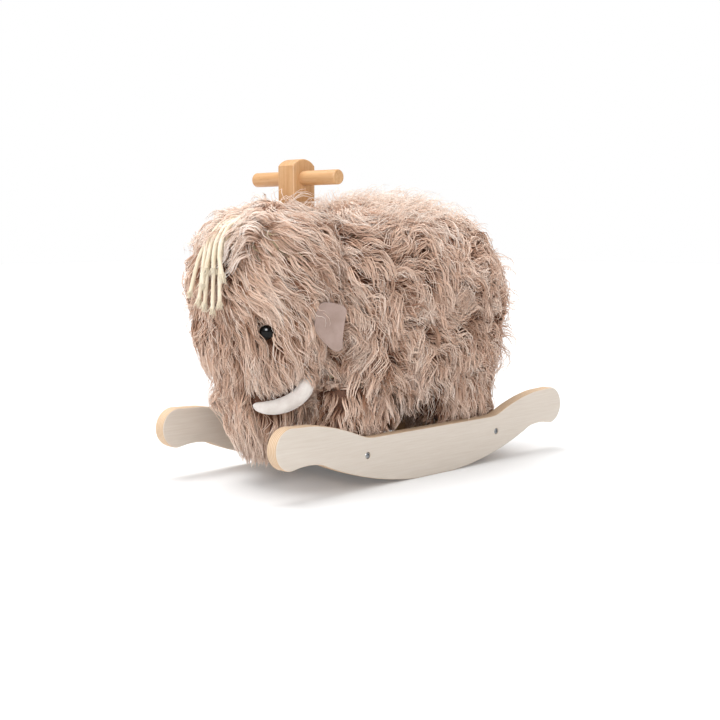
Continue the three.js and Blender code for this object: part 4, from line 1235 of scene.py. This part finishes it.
def flyaways(name, form, gap, nap, keep, reach, seed):
    """Sparse fine strands that stand off the pile and soften its outline."""
    roots, normals = scatter(form, gap, keep)
    n = len(roots)
    high = smoothstep(0.3, 0.37, roots[:, 2])
    paths, out = comb(roots, normals, nap, chance.uniform(0.045, 0.075, n),
                      chance.uniform(*reach, n) * (1 + 0.1 * high))
    paths = wave(paths, out, 5 * MM * chance.uniform(0.4, 1.4, n), chance.uniform(0.8, 1.8, n), 3.0)
    paths = all_round(paths)
    # the higher ones are painted paler, as light from above
    tone = np.clip(chance.normal(0.68, 0.12, n) + 0.3 * high, 0, 1)
    locks = lock_set(paths, normals, tone, chance.uniform(5, 9, n) * MM)
    furry(name, locks, **FLYAWAY, Seed=seed)


def off_the_post(*names):
    """True for points outside these forms and clear of the handle's post."""
    return lambda points: outside(*names)(points) & ~at_post(points, 0.024, 0.03)


def back_and_rump(points):
    """True for points of the upper back and of the rump."""
    high, behind = points[:, 2] > 0.34, (points[:, 1] > 0.165) & (points[:, 2] > 0.15)
    return off_the_post("head")(points) & (high | behind)


def upper_trunk(points):
    """True for points of the trunk that are well above its tip."""
    return outside("head")(points) & (points[:, 2] > 0.07)


# piece, form, gap between roots, nap, where, how far it stands off, seed
for name, form, gap, nap, keep, reach, seed in (
        ("body", "body", 12, body_nap, off_the_post("head", "trunk", *legs), (8 * MM, 17 * MM), 71),
        ("back", "body", 10, body_nap, back_and_rump, (16 * MM, 30 * MM), 74),
        ("head", "head", 12, head_nap, off_the_post("body", "trunk"), (8 * MM, 19 * MM), 72),
        ("trunk", "trunk", 12, trunk_nap, upper_trunk, (6 * MM, 13 * MM), 73)):
    flyaways(f"fur_flying_{name}", form, gap * MM, nap, keep, reach, seed)


# %% Let fur fall over the right tusk's tip
def above_the_right_tip(points):
    """True for points of the face that are over the right tusk's tip."""
    away = mirrored(points) - tusk_line[-1]
    return (points[:, 0] < 0) & (away[:, 2] > 2 * MM) & (away[:, 2] < 40 * MM) & (away[:, 0] < 22 * MM) & (
        away[:, 1] < 30 * MM)


roots, normals = scatter("head", 5.2 * MM, above_the_right_tip)
n = len(roots)
paths, out = comb(roots, normals, trunk_nap, chance.uniform(0.04, 0.06, n),
                  chance.uniform(2 * MM, 7 * MM, n))
paths = all_round(paths)
paths = wave(paths, out, 2 * MM * chance.uniform(0.4, 1.4, n), chance.uniform(0.8, 1.4, n))
locks = lock_set(paths, normals, np.clip(chance.normal(0.48, 0.15, n), 0, 1),
                 chance.uniform(3.5, 5, n) * MM)
furry("fur_over_right_tip", locks, **HEAD_STRANDS, Seed=84)

# %% Cover the strip
strip_low, strip_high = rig.box("forelock_binding")
strip = (strip_low + strip_high) / 2
print("strip from", strip_low, "to", strip_high)


def behind_the_strip(points):
    """True for points of the crown that are behind the strip and beside it."""
    near = (np.abs(points[:, 0] - strip.x) < 0.038) & (points[:, 1] > strip.y - 0.012) & (
        points[:, 1] < strip.y + 0.032)
    return near & outside("body")(points) & (points[:, 2] > 0.3)


def forward_nap(points, normals):
    """Forward over the strip, spreading to both sides and dipping a little."""
    level = 0 * points[:, 0]
    return np.stack([1.5 * (points[:, 0] - 0.018), level - 1, level - 0.35], axis=1) + (
        0.8 * swirl(points, 0.03, 29))


roots, normals = scatter("head", 5.5 * MM, behind_the_strip)
n = len(roots)
paths, out = comb(roots, normals, forward_nap, chance.uniform(0.045, 0.07, n),
                  chance.uniform(23 * MM, 31 * MM, n))
paths = wave(paths, out, 3.5 * MM * chance.uniform(0.4, 1.4, n), chance.uniform(0.8, 1.6, n), 2.0)
# a high tone, painted light on the top of the head where the strip lies
locks = lock_set(paths, normals, np.clip(chance.normal(0.74, 0.1, n), 0, 1), chance.uniform(4, 6, n) * MM)
furry("fur_over_strip", locks, **HEAD_STRANDS, Seed=81)

# %% [markdown]
# ## Wood
# The rockers are cut from birch plywood and whitewashed: pale, almost grainless faces, and warmer edges
# where the plies show as thin lines. The handle is oiled beech, darker and pinker, with short flecks.
# A pattern that runs along the grain is noise squeezed across it. A picture of wood would have to be
# laid on every face, while noise in the piece's own space runs through the board as real grain does.

# %% Birch plywood
# Rotary-cut veneers under a white wash: faint streaks, 2 mm high and 45 mm long, on the faces. On the
# edges, plies 1.5 mm thick whose warm fibres are broken every 11 mm or so.
PLY = 1.5 * MM  # thickness of one ply


def grain(tree, where, squeeze, detail=4.0):
    """Noise drawn out along the axis whose squeeze is smallest, in streaks per metre."""
    stretched = add(tree, "ShaderNodeMapping", {"Vector": where, "Scale": squeeze})
    return add(tree, "ShaderNodeTexNoise", {"Vector": stretched.outputs["Vector"], "Scale": 1.0,
                                            "Detail": detail, "Roughness": 0.6}).outputs["Fac"]


plywood, tree, shader = finish("whitewashed birch plywood", 0.55, Specular_IOR_Level=0.2)
where = add(tree, "ShaderNodeTexCoord").outputs["Object"]
streaks = grain(tree, where, (60, 22, 500))
face = add(tree, "ShaderNodeValToRGB", {"Fac": streaks},
           stops=[(0.25, "D5C9BC"), (0.5, "DACFC3"), (0.8, "DFD6CB")]).outputs["Color"]
apart = add(tree, "ShaderNodeSeparateXYZ", {"Vector": where})
plies = add(tree, "ShaderNodeMath", {0: apart.outputs["X"], 1: PLY}, operation="PINGPONG")
layered = add(tree, "ShaderNodeMath", {0: plies.outputs[0], 1: 1 / PLY}, operation="MULTIPLY")
broken = add(tree, "ShaderNodeMath", {0: layered.outputs[0], 1: grain(tree, where, (700, 90, 90))},
             operation="MULTIPLY")
edge = add(tree, "ShaderNodeValToRGB", {"Fac": broken.outputs[0]},
           stops=[(0.04, "BF9C7A"), (0.2, "D3B799"), (0.6, "DCC7AE")]).outputs["Color"]
facing = add(tree, "ShaderNodeSeparateXYZ", {
    "Vector": add(tree, "ShaderNodeNewGeometry").outputs["Normal"]})
flatness = add(tree, "ShaderNodeMath", {0: facing.outputs["X"]}, operation="ABSOLUTE")
onto_face = add(tree, "ShaderNodeMapRange", {"Value": flatness.outputs[0], "From Min": 0.55, "From Max": 0.9})
both = add(tree, "ShaderNodeMix", {"Factor": onto_face.outputs["Result"], "A": edge, "B": face},
           data_type="RGBA")
tree.links.new(both.outputs["Result"], shader.inputs["Base Color"])
add(tree, "ShaderNodeBump", {"Height": streaks, "Distance": 0.15 * MM, "Strength": 0.4},
    shader.inputs["Normal"])


# %% Beech
# Planed and oiled beech: a satin surface, streaks 4 mm wide and 70 mm long, and rays as darker flecks of
# 1 by 8 mm.
def beech(name, squeeze, stops):
    """Oiled beech with its grain along one axis: close streaks and short darker rays."""
    made, tree, shader = finish(name, 0.42, Specular_IOR_Level=0.25)
    where = add(tree, "ShaderNodeTexCoord").outputs["Object"]
    streaks = grain(tree, where, squeeze)
    rays = grain(tree, where, tuple(v * 4 if v > 100 else v * 9 for v in squeeze), 1.0)
    speck = add(tree, "ShaderNodeMapRange", {"Value": rays, "From Min": 0.62, "From Max": 0.72})
    marked = add(tree, "ShaderNodeMath", {0: speck.outputs["Result"], 1: -0.25, 2: streaks},
                 operation="MULTIPLY_ADD")
    add(tree, "ShaderNodeValToRGB", {"Fac": marked.outputs[0]}, shader.inputs["Base Color"], stops)
    add(tree, "ShaderNodeBump", {"Height": streaks, "Distance": 0.1 * MM, "Strength": 0.4},
        shader.inputs["Normal"])
    return made


OILED = [(0.2, "C4925E"), (0.5, "D1A374"), (0.8, "DBB288")]
UPRIGHT, ACROSS = (260, 260, 14), (14, 260, 260)
beech_upright = beech("oiled beech, grain upright", UPRIGHT, OILED)
beech_across = beech("oiled beech, grain across", ACROSS, OILED)
beech_frame = beech("planed beech frame", ACROSS, [(0.2, "B98C62"), (0.5, "D2AA80"), (0.8, "DEBB94")])


# %% [markdown]
# ## Boards and the handle
# Rockers and post are sawn from boards, and their edges are rounded over. An outline gives two flat
# faces with a rim between them, and a Bevel modifier rounds the edges, as a router would. A curve could
# be extruded and bevelled too, but the bolts' holes are easier to cut in a mesh. The rocker's lower edge
# is one long arc, and its ends are round horns. The bar is turned from a profile, as on a lathe.

# %% Plates with eased edges
def plate(name, outline, low_x, high_x, ease, material, holes=()):
    """A board cut to an outline of (y, z) points, with its edges rounded over.

    Each hole, as (y, z, radius, depth), is sunk into the face that points away from the toy's middle.
    """
    count = len(outline)
    points = [(x, y, z) for x in (low_x, high_x) for y, z in outline]
    faces = [tuple(range(count)), tuple(reversed(range(count, 2 * count)))]
    faces += [(k, k + count, (k + 1) % count + count, (k + 1) % count) for k in range(count)]
    made = faces_out(piece(name, points, faces, material))
    bevel = made.modifiers.new("eased edges", "BEVEL")
    bevel.width, bevel.segments = ease, 4
    bevel.limit_method, bevel.angle_limit = "ANGLE", math.radians(50)
    cutters = []
    for y, z, radius, depth in holes:
        bpy.ops.mesh.primitive_cylinder_add(
            vertices=40, radius=radius, depth=2 * depth, rotation=(0, math.pi / 2, 0),
            location=(high_x if high_x > 0 else low_x, y, z))
        cutter = bpy.context.object
        boolean = made.modifiers.new("bolt hole", "BOOLEAN")
        boolean.object, boolean.operation = cutter, "DIFFERENCE"
        cutters.append(cutter)
    bpy.context.view_layer.update()
    shape = evaluated(made)
    made.modifiers.clear()
    made.data = shape
    for cutter in cutters:
        bpy.data.objects.remove(cutter)
    shape.shade_smooth()
    shape.set_sharp_from_angle(angle=math.radians(32))
    return made


# %% The rocker's outline
BELLY_RADIUS, BELLY_SPAN, BELLY_FLAT = 0.560, 0.205, 0.0419
HORN_RADIUS, HORN_Y, HORN_LIFT = 0.028, 0.272, 0.0335
LEDGE_Y, LEDGE_Z = LEDGE[0]
rocker_low, rocker_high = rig.box("rocker_left")
HORN_Z = rocker_high.z - HORN_RADIUS * math.sin(math.radians(85))


def belly(y):
    """The height of the rocker's lower edge, an arc with a short flat in its middle."""
    rise = BELLY_RADIUS - math.sqrt(BELLY_RADIUS ** 2 - y ** 2)
    return max(0.0, rise - BELLY_RADIUS + math.sqrt(BELLY_RADIUS ** 2 - BELLY_FLAT ** 2))


rise, run = HORN_Z + HORN_RADIUS - LEDGE_Z, HORN_Y - LEDGE_Y
marks = [(y, belly(y)) for y in np.linspace(BELLY_FLAT, BELLY_SPAN, 12)]
marks += [(BELLY_SPAN + along * (HORN_Y - BELLY_SPAN), HORN_Z - (1 - up) * HORN_LIFT)
          for along, up in ((0.25, 0.2), (0.52, 0.27), (0.75, 0.26))]
marks += [(HORN_Y + HORN_RADIUS * math.cos(a), HORN_Z + HORN_RADIUS * math.sin(a))
          for a in np.radians(np.arange(-80, 101, 15))]
marks += [(LEDGE_Y + along * run, LEDGE_Z + up * rise) for along, up in (
    (0.73, 0.93), (0.61, 0.83), (0.51, 0.73), (0.41, 0.59), (0.31, 0.44), (0.23, 0.29), (0.15, 0.14),
    (0.08, 0.04), (0.0, 0.0))]
half_outline, _ = smooth_path([(0, y, z) for y, z in marks], 160)
half_outline[:, 1] = np.minimum(half_outline[:, 1], HORN_Y + HORN_RADIUS)
half_outline[:, 2] = np.maximum(half_outline[:, 2], 0)
rocker_outline = [(y, z) for _, y, z in half_outline] + [(-y, z) for _, y, z in half_outline[::-1]]
print(f"a rocker is {2 * half_outline[:, 1].max():.3f} m long and {half_outline[:, 2].max():.4f} m high")

# %% Cut the rockers
RAIL_Y, RAIL_Z = 0.137, 0.0456
HEAD_HOLE = 4.7 * MM
for side_name, side in SIDES:
    xs = sorted((side * rocker_low.x, side * rocker_high.x))
    made = plate(f"rocker_plate_{side_name}", rocker_outline, *xs, 1.8 * MM, plywood,
                 [(y, RAIL_Z, HEAD_HOLE, 3.0 * MM) for y in (-RAIL_Y, RAIL_Y)])
    belongs(made, TOY, "plywood", f"rocker_{side_name}")

# %% Handle
BAR_Z, BAR_RADIUS, BAR_HALF = 0.416, 0.010, 0.084
ARCH_RADIUS, POST_HALF_DEPTH, POST_HALF_WIDTH = 0.026, 0.020, 0.016
post_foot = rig.box("handle_upright")[0].z
shoulder = math.acos(POST_HALF_DEPTH / ARCH_RADIUS)
arch = [(BAR_Y + ARCH_RADIUS * math.cos(a), BAR_Z + ARCH_RADIUS * math.sin(a))
        for a in np.linspace(shoulder, math.pi - shoulder, 28)]
post_outline = [(BAR_Y - POST_HALF_DEPTH, post_foot), (BAR_Y + POST_HALF_DEPTH, post_foot)] + arch
made = plate("handle_post", post_outline, -POST_HALF_WIDTH, POST_HALF_WIDTH, 2.2 * MM, beech_upright)
belongs(made, TOY, "beech", "handle_upright")


def turned(name, profile, material, count=48):
    """A round piece from (distance along, radius) pairs, closed at both ends, along X."""
    angles = np.linspace(0, 2 * np.pi, count, endpoint=False)
    points = [(x, r * math.cos(a), r * math.sin(a)) for x, r in profile for a in angles]
    points += [(profile[0][0], 0, 0), (profile[-1][0], 0, 0)]
    faces = walls(len(profile), count) + fans(len(profile), count)
    made = faces_out(piece(name, points, faces, material))
    made.data.set_sharp_from_angle(angle=math.radians(40))
    return made


EASE = 2.4 * MM
corner = [(BAR_HALF - EASE + EASE * math.sin(a), BAR_RADIUS - EASE + EASE * math.cos(a))
          for a in np.linspace(0, math.pi / 2, 7)]
profile = [(-x, r) for x, r in reversed(corner)] + corner
made = turned("handle_grip", profile, beech_across)
made.data.transform(Matrix.Translation((0, BAR_Y, BAR_Z)))
belongs(made, TOY, "beech", "handle_bar")

# %% [markdown]
# ## Bolts
# Four bolts with a low button head and a hexagon socket hold the rockers to the rails. Four copies set
# by hand would do, but Geometry Nodes put one head, made once, at each hole, so all stay alike.

# %% Zinc-plated steel
# Bright zinc over steel: a greyish metal, slightly uneven over 2 mm and not polished.
zinc = mottled("zinc-plated steel", 0.32, ("85878A", "A3A5A6"), (500.0, 2.0), depth=0.05 * MM, Metallic=1.0)


# %% One bolt head
def bolt_head():
    """A domed head along X with its socket sunk in, its rim at the origin."""
    count, rim, socket = 36, 4.2 * MM, 2.1 * MM
    angles = np.linspace(0, 2 * np.pi, count, endpoint=False)

    def circle(x, radius, hexagonal=False):
        reach = [radius / math.cos((a + math.pi / 6) % (math.pi / 3) - math.pi / 6) if hexagonal else radius
                 for a in angles]
        return [(x * MM, r * math.cos(a), r * math.sin(a)) for r, a in zip(reach, angles)]

    rows = [circle(-2.6, rim), circle(-0.5, rim), circle(0.1, 0.9 * rim), circle(0.5, 0.72 * rim),
            circle(0.6, 0.6 * rim), circle(0.55, socket, True), circle(-1.5, socket, True)]
    points = [p for row in rows for p in row] + [(-2.6 * MM, 0, 0), (-1.9 * MM, 0, 0)]
    faces = walls(len(rows), count) + fans(len(rows), count)
    made = faces_out(piece("bolt head pattern", points, faces, zinc))
    made.data.set_sharp_from_angle(angle=math.radians(35))
    return made


# %% Put a head in each hole
def placed_tree():
    """The tree, and its input sockets by name."""
    tree = bpy.data.node_groups.new("one pattern at each point", "GeometryNodeTree")
    kinds = {"Places": "Geometry", "Pattern": "Object", "Material": "Material"}
    sockets = {name: tree.interface.new_socket(name, in_out="INPUT", socket_type="NodeSocket" + kind)
               for name, kind in kinds.items()}
    tree.interface.new_socket("Heads", in_out="OUTPUT", socket_type="NodeSocketGeometry")
    given = tree.nodes.new("NodeGroupInput").outputs
    pattern = add(tree, "GeometryNodeObjectInfo", {"Object": given["Pattern"]})
    turn = add(tree, "GeometryNodeInputNamedAttribute", {"Name": "turn"}, data_type="FLOAT_VECTOR")
    heads = add(tree, "GeometryNodeInstanceOnPoints", {
        "Points": given["Places"], "Instance": pattern.outputs["Geometry"],
        "Rotation": turn.outputs["Attribute"]})
    real = add(tree, "GeometryNodeRealizeInstances", {"Geometry": heads.outputs["Instances"]})
    result = tree.nodes.new("NodeGroupOutput")
    add(tree, "GeometryNodeSetMaterial", {
        "Geometry": real.outputs["Geometry"], "Material": given["Material"]}, result.inputs["Heads"])
    return tree, sockets


tree, sockets = placed_tree()
pattern = bolt_head()
holes = [(side * (rocker_high.x - 0.3 * MM), y, RAIL_Z) for _, side in SIDES for y in (-RAIL_Y, RAIL_Y)]
mesh = bpy.data.meshes.new("holes")
mesh.from_pydata(holes, [], [])
# the right side's heads are turned about Z by half a turn, and each by its own amount about its axis
turns = [(0.4 + k, 0, 0 if place[0] > 0 else math.pi) for k, place in enumerate(holes)]
mesh.attributes.new("turn", "FLOAT_VECTOR", "POINT").data.foreach_set("vector", np.array(turns).ravel())
source = bpy.data.objects.new("holes", mesh)
scene.collection.objects.link(source)
modifier = source.modifiers.new("heads", "NODES")
modifier.node_group = tree
modifier[sockets["Pattern"].identifier] = pattern
modifier[sockets["Material"].identifier] = zinc
bpy.context.view_layer.update()
shape = evaluated(source)
bpy.data.objects.remove(source)
bpy.data.objects.remove(pattern)
heads = bpy.data.objects.new("bolt_heads", shape)
scene.collection.objects.link(heads)
belongs(heads, TOY, "steel", *[f"rail_bolt_{end}_{side_name}" for end in LEG_SPANS for side_name, _ in SIDES])
print(f"{len(holes)} bolt heads: {len(shape.polygons)} faces")

# %% [markdown]
# ## Face
# The eyes are glossy black safety eyes, turned from a profile like the bar. The tusks are stuffed felt
# crescents: tubes along a bent line that go thin towards the tip, which is quicker than sculpting and
# keeps both sides alike. The ears are flat leaves of imitation suede, sewn on along the front edge only,
# so that they can be folded forward. Rings of an ear's own outline make one closed leaf with a rounded
# rim, and each ear rides on its own body.

# %% Eyes
# Moulded black acrylic with a polished dome: nearly no colour, only the studio in it. It is hardly
# cloudy, over 5 mm.
acrylic = mottled("polished black acrylic", 0.08, ("060505", "0B0908"), (200.0, 2.0), Specular_IOR_Level=0.2)

EYE_BULGE, EYE_STEPS = 0.75, 14
for side_name, side in SIDES:
    dome = [(-2 * MM, 0.93 * EYE_RADIUS), (-1.4 * MM, EYE_RADIUS)]
    dome += [(EYE_RADIUS * EYE_BULGE * math.sin(a), EYE_RADIUS * math.cos(a))
             for a in np.linspace(0, math.radians(86), EYE_STEPS)]
    made = turned(f"eye_button_{side_name}", dome, acrylic)
    outward, seat = (Vector((side * v[0], v[1], v[2])) for v in (EYE_OUT, EYE_PLACE))
    made.data.transform(Matrix.Translation(seat) @ outward.to_track_quat("X", "Z").to_matrix().to_4x4())
    belongs(made, TOY, "eye_black", f"eye_{side_name}")

# %% Tusks
# Pressed wool felt over stuffing: white, matt, with a fuzz that lightens its outline. The fuzz is
# drawn 0.9 mm across, as fine as can show, and the pressed wool varies over 11 mm.
felt, tree, shader = finish("white wool felt", 0.95, Sheen_Weight=0.5, Sheen_Roughness=0.6)
where = add(tree, "ShaderNodeTexCoord").outputs["Object"]
fuzz = add(tree, "ShaderNodeTexNoise", {"Vector": where, "Scale": 1100.0, "Detail": 4.0})
pressed = add(tree, "ShaderNodeTexNoise", {"Vector": where, "Scale": 90.0, "Detail": 3.0})
add(tree, "ShaderNodeValToRGB", {"Fac": pressed.outputs["Fac"]}, shader.inputs["Base Color"],
    [(0.3, "D8CEC7"), (0.7, "E8E1DB")])
both = add(tree, "ShaderNodeMath", {0: pressed.outputs["Fac"], 1: 3.0, 2: fuzz.outputs["Fac"]},
           operation="MULTIPLY_ADD")
add(tree, "ShaderNodeBump", {"Height": both.outputs[0], "Distance": 0.5 * MM}, shader.inputs["Normal"])

for side_name, side in SIDES:
    marks = TUSK_MARKS * np.array([side, 1, 1])
    path, length = smooth_path(marks, 40)
    share = np.linspace(0, 1, len(path))
    radii = TUSK_RADIUS * (1 - 0.66 * share ** 5) * (0.5 + 0.5 * smoothstep(0.0, 0.16, share))
    tip = np.sqrt(np.clip(1 - ((share - 0.93) / 0.07).clip(0, 1) ** 2, 0.02, 1))
    made = faces_out(piece(f"tusk_felt_{side_name}", *tube(path, radii * tip, 28), felt))
    belongs(made, TOY, "felt", f"tusk_{side_name}")
    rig.padded(made, fill=0.9)

# %% Ears
# Imitation suede: brushed polyester whose nap lies in patches 18 mm across, with a grain of 0.7 mm.
suede = mottled("brushed imitation suede", 0.85, ("988075", "AA9288"), (55.0, 3.0), (1400.0, 2.0), 0.25 * MM,
                Sheen_Weight=0.35, Sheen_Roughness=0.45)

EAR_LENGTH, EAR_HALF, EAR_THICKNESS = 0.048, 0.031, 0.005
EAR_SEAM = Vector((0.1034, -0.21201, 0.22202))
EAR_PLACE = (Matrix.Translation(EAR_SEAM) @ Matrix.Rotation(math.radians(10), 4, "Y")
             @ Matrix.Rotation(math.radians(-14), 4, "Z"))
EAR_BENDS = [((0, 0.3), (-0.02, 0.8), (0.02, 1.1), (0.28, 1.06)),
             ((0.28, 1.06), (0.5, 1.04), (0.84, 1.02), (0.88, 0.74)),
             ((0.88, 0.74), (0.9, 0.4), (0.87, -0.3), (0.86, -0.8)),
             ((0.86, -0.8), (0.85, -1.06), (0.7, -1.12), (0.58, -0.98)),
             ((0.58, -0.98), (0.35, -0.75), (0.08, -0.35), (0, 0))]


def ear_outline():
    """The leaf's outline, back and up from the seam, through its five bends and down the seam again."""
    line = []
    for a, b, c, d in np.array(EAR_BENDS):
        for t in np.linspace(0, 1, 14, endpoint=False):
            line.append((1 - t) ** 3 * a + 3 * (1 - t) ** 2 * t * b + 3 * (1 - t) * t * t * c + t ** 3 * d)
    line += [np.array((0, 0)), np.array((0, 0.15))]
    return np.array(line) * (EAR_LENGTH, EAR_HALF)


def ear_leaf(side):
    """Rings from the outline to the middle, on both faces, with a rounded rim and a slight cup."""
    line, middle = ear_outline(), np.array((0.5 * EAR_LENGTH, 0.0))
    points, rows = [], []
    layers = [(1.0, 0.0), (0.985, 1.0), (0.93, 1.15), (0.9, 0.85), (0.8, 1.05), (0.5, 1.1), (0.2, 1.1)]
    for sign in (1, -1):
        for scale, thick in (layers if sign > 0 else layers[1:]):
            row = []
            for y, z in middle + (line - middle) * scale:
                cup = 6 * MM * (y / EAR_LENGTH) ** 2 + 2.5 * MM * (z / EAR_HALF) ** 2
                fold = 3 * MM * math.exp(-((z + 0.8 * EAR_HALF) / (0.3 * EAR_HALF)) ** 2)
                x = EAR_THICKNESS / 2 + sign * thick * 1.5 * MM - 2.5 * MM + cup + fold * (y / EAR_LENGTH)
                row.append(len(points))
                points.append(EAR_PLACE @ Vector((x, y, z)))
            rows.append(row)
    half, count = len(layers), len(line)
    front, back = rows[:half], [rows[0]] + rows[half:]
    faces = []
    for stack in (front, back):
        for a, b in zip(stack, stack[1:]):
            faces += [(a[k], a[(k + 1) % count], b[(k + 1) % count], b[k]) for k in range(count)]
        faces.append(tuple(stack[-1]))
    return [(p.x * side, p.y, p.z) for p in points], faces


for side_name, side in SIDES:
    made = faces_out(piece(f"ear_leaf_{side_name}", *ear_leaf(side), suede))
    rounded = made.modifiers.new("rounded", "SUBSURF")
    rounded.levels = rounded.render_levels = 1
    belongs(made, f"ear_{side_name}", "suede", f"ear_{side_name}")
    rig.padded(made, fill=0.4)

# %% [markdown]
# ## What lies inside
# The frame, the filling and the fixings keep their CAD shapes and get the finish of what they are.
# Little of them is seen from outside, so their shapes need no more work.

# %% Foam, stuffing and nylon
# Cut polyurethane foam: open cells 1.4 mm across.
foam, tree, shader = finish("cut polyurethane foam", 0.95)
where = add(tree, "ShaderNodeTexCoord").outputs["Object"]
cells = add(tree, "ShaderNodeTexVoronoi", {"Vector": where, "Scale": 700.0}).outputs["Distance"]
add(tree, "ShaderNodeValToRGB", {"Fac": cells}, shader.inputs["Base Color"],
    [(0.0, "E9DDB8"), (0.8, "D8C99E")])
add(tree, "ShaderNodeBump", {"Height": cells, "Distance": 0.4 * MM}, shader.inputs["Normal"])
# Hollow polyester fibre, blown into the trunk: soft tufts 4 mm across.
wadding = mottled("polyester fibre stuffing", 0.95, ("DEDEDA", "F4F4F1"), (250.0, 5.0), depth=1.0 * MM,
                  Sheen_Weight=0.3)
# Injection-moulded nylon washers behind the eyes: smooth, yellowish, and cloudy over 8 mm.
nylon = mottled("moulded natural nylon", 0.4, ("E4E0D4", "EFECE3"), (120.0, 2.0))

INSIDE = {"body_foam": foam, "belly_foam": foam, "head_foam": foam, "trunk_stuffing": wadding,
          "eye_washer": nylon, "forelock_binding": felt, "seat_board": plywood, "leg_post": beech_frame,
          "cross_rail": beech_frame, "handle_bracket": zinc, "bracket_screw": zinc, "leg_screw": zinc,
          "barrel_nut": zinc}
for name, node in frame["nodes"].items():
    made = next((material for start, material in INSIDE.items() if name.startswith(start)), None)
    if made and not node.hide_render:
        for holder in node.material_slots:
            holder.material = made

# %% [markdown]
# ## Floor, light and background
# The toy stands on matt white paper in an even white studio. The paper glows a little for the camera
# only, so that it meets the background without an edge. Two broad suns give soft light and a faint
# shadow, which many small lamps could also do, but less evenly. A window shows only in what is
# polished, such as the eyes.

# %% Studio
floor_paint, tree, shader = finish("studio floor paper", 0.9)
shader.inputs["Base Color"].default_value = srgb("E8E8E8")
seen = add(tree, "ShaderNodeLightPath")
glow = add(tree, "ShaderNodeEmission", {"Color": (1, 1, 1, 1), "Strength": 1.2})
share = add(tree, "ShaderNodeMath", {0: seen.outputs["Is Camera Ray"], 1: 0.1}, operation="MULTIPLY")
add(tree, "ShaderNodeMixShader", {0: share.outputs[0], 1: shader.outputs[0], 2: glow.outputs[0]},
    tree.nodes["Material Output"].inputs["Surface"])
floor = piece("floor", [(-9, -9, 0), (9, -9, 0), (9, 9, 0), (-9, 9, 0)], [(0, 1, 2, 3)], floor_paint, False)
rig.stage(floor)

world = bpy.data.worlds.new("studio")
scene.world = world
world.use_nodes = True
tree = world.node_tree
seen = add(tree, "ShaderNodeLightPath")
backdrop = tree.nodes["Background"]
add(tree, "ShaderNodeMapRange", {"Value": seen.outputs["Is Camera Ray"], "To Min": 0.5, "To Max": 1.0},
    backdrop.inputs["Strength"])
backdrop.inputs["Color"].default_value = (1, 1, 1, 1)


def lamp(name, toward, spread, strength):
    """A broad soft light from far off, so that it is even over toy and floor."""
    data = bpy.data.lights.new(name, "SUN")
    data.angle, data.energy = math.radians(spread), strength
    made = bpy.data.objects.new(name, data)
    made.rotation_euler = Vector(toward).to_track_quat("Z", "Y").to_euler()
    scene.collection.objects.link(made)


lamp("overhead", (-0.25, -0.08, 1.0), 42, 3.1)
lamp("front", (0.5, -0.85, 0.75), 60, 1.1)
# a bright window that lights nothing, but that a polished eye shows as its highlight
data = bpy.data.lights.new("window", "AREA")
data.shape, data.size, data.energy = "SQUARE", 1.1, 110.0
window = bpy.data.objects.new("window", data)
window.location = (1.25, -1.75, 1.35)
window.visible_diffuse = False
window.rotation_euler = (Vector(window.location) - LOOK_AT).to_track_quat("Z", "Y").to_euler()
scene.collection.objects.link(window)
scene.view_settings.view_transform = "Standard"

# %% Write down the sizes of the CAD model and of what is shown
bpy.context.view_layer.update()
with open("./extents.json", "w") as sizes:
    json.dump({"cad": [list(corner) for corner in cad_box],
               "visual": [list(corner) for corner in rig.bounds()]}, sizes)
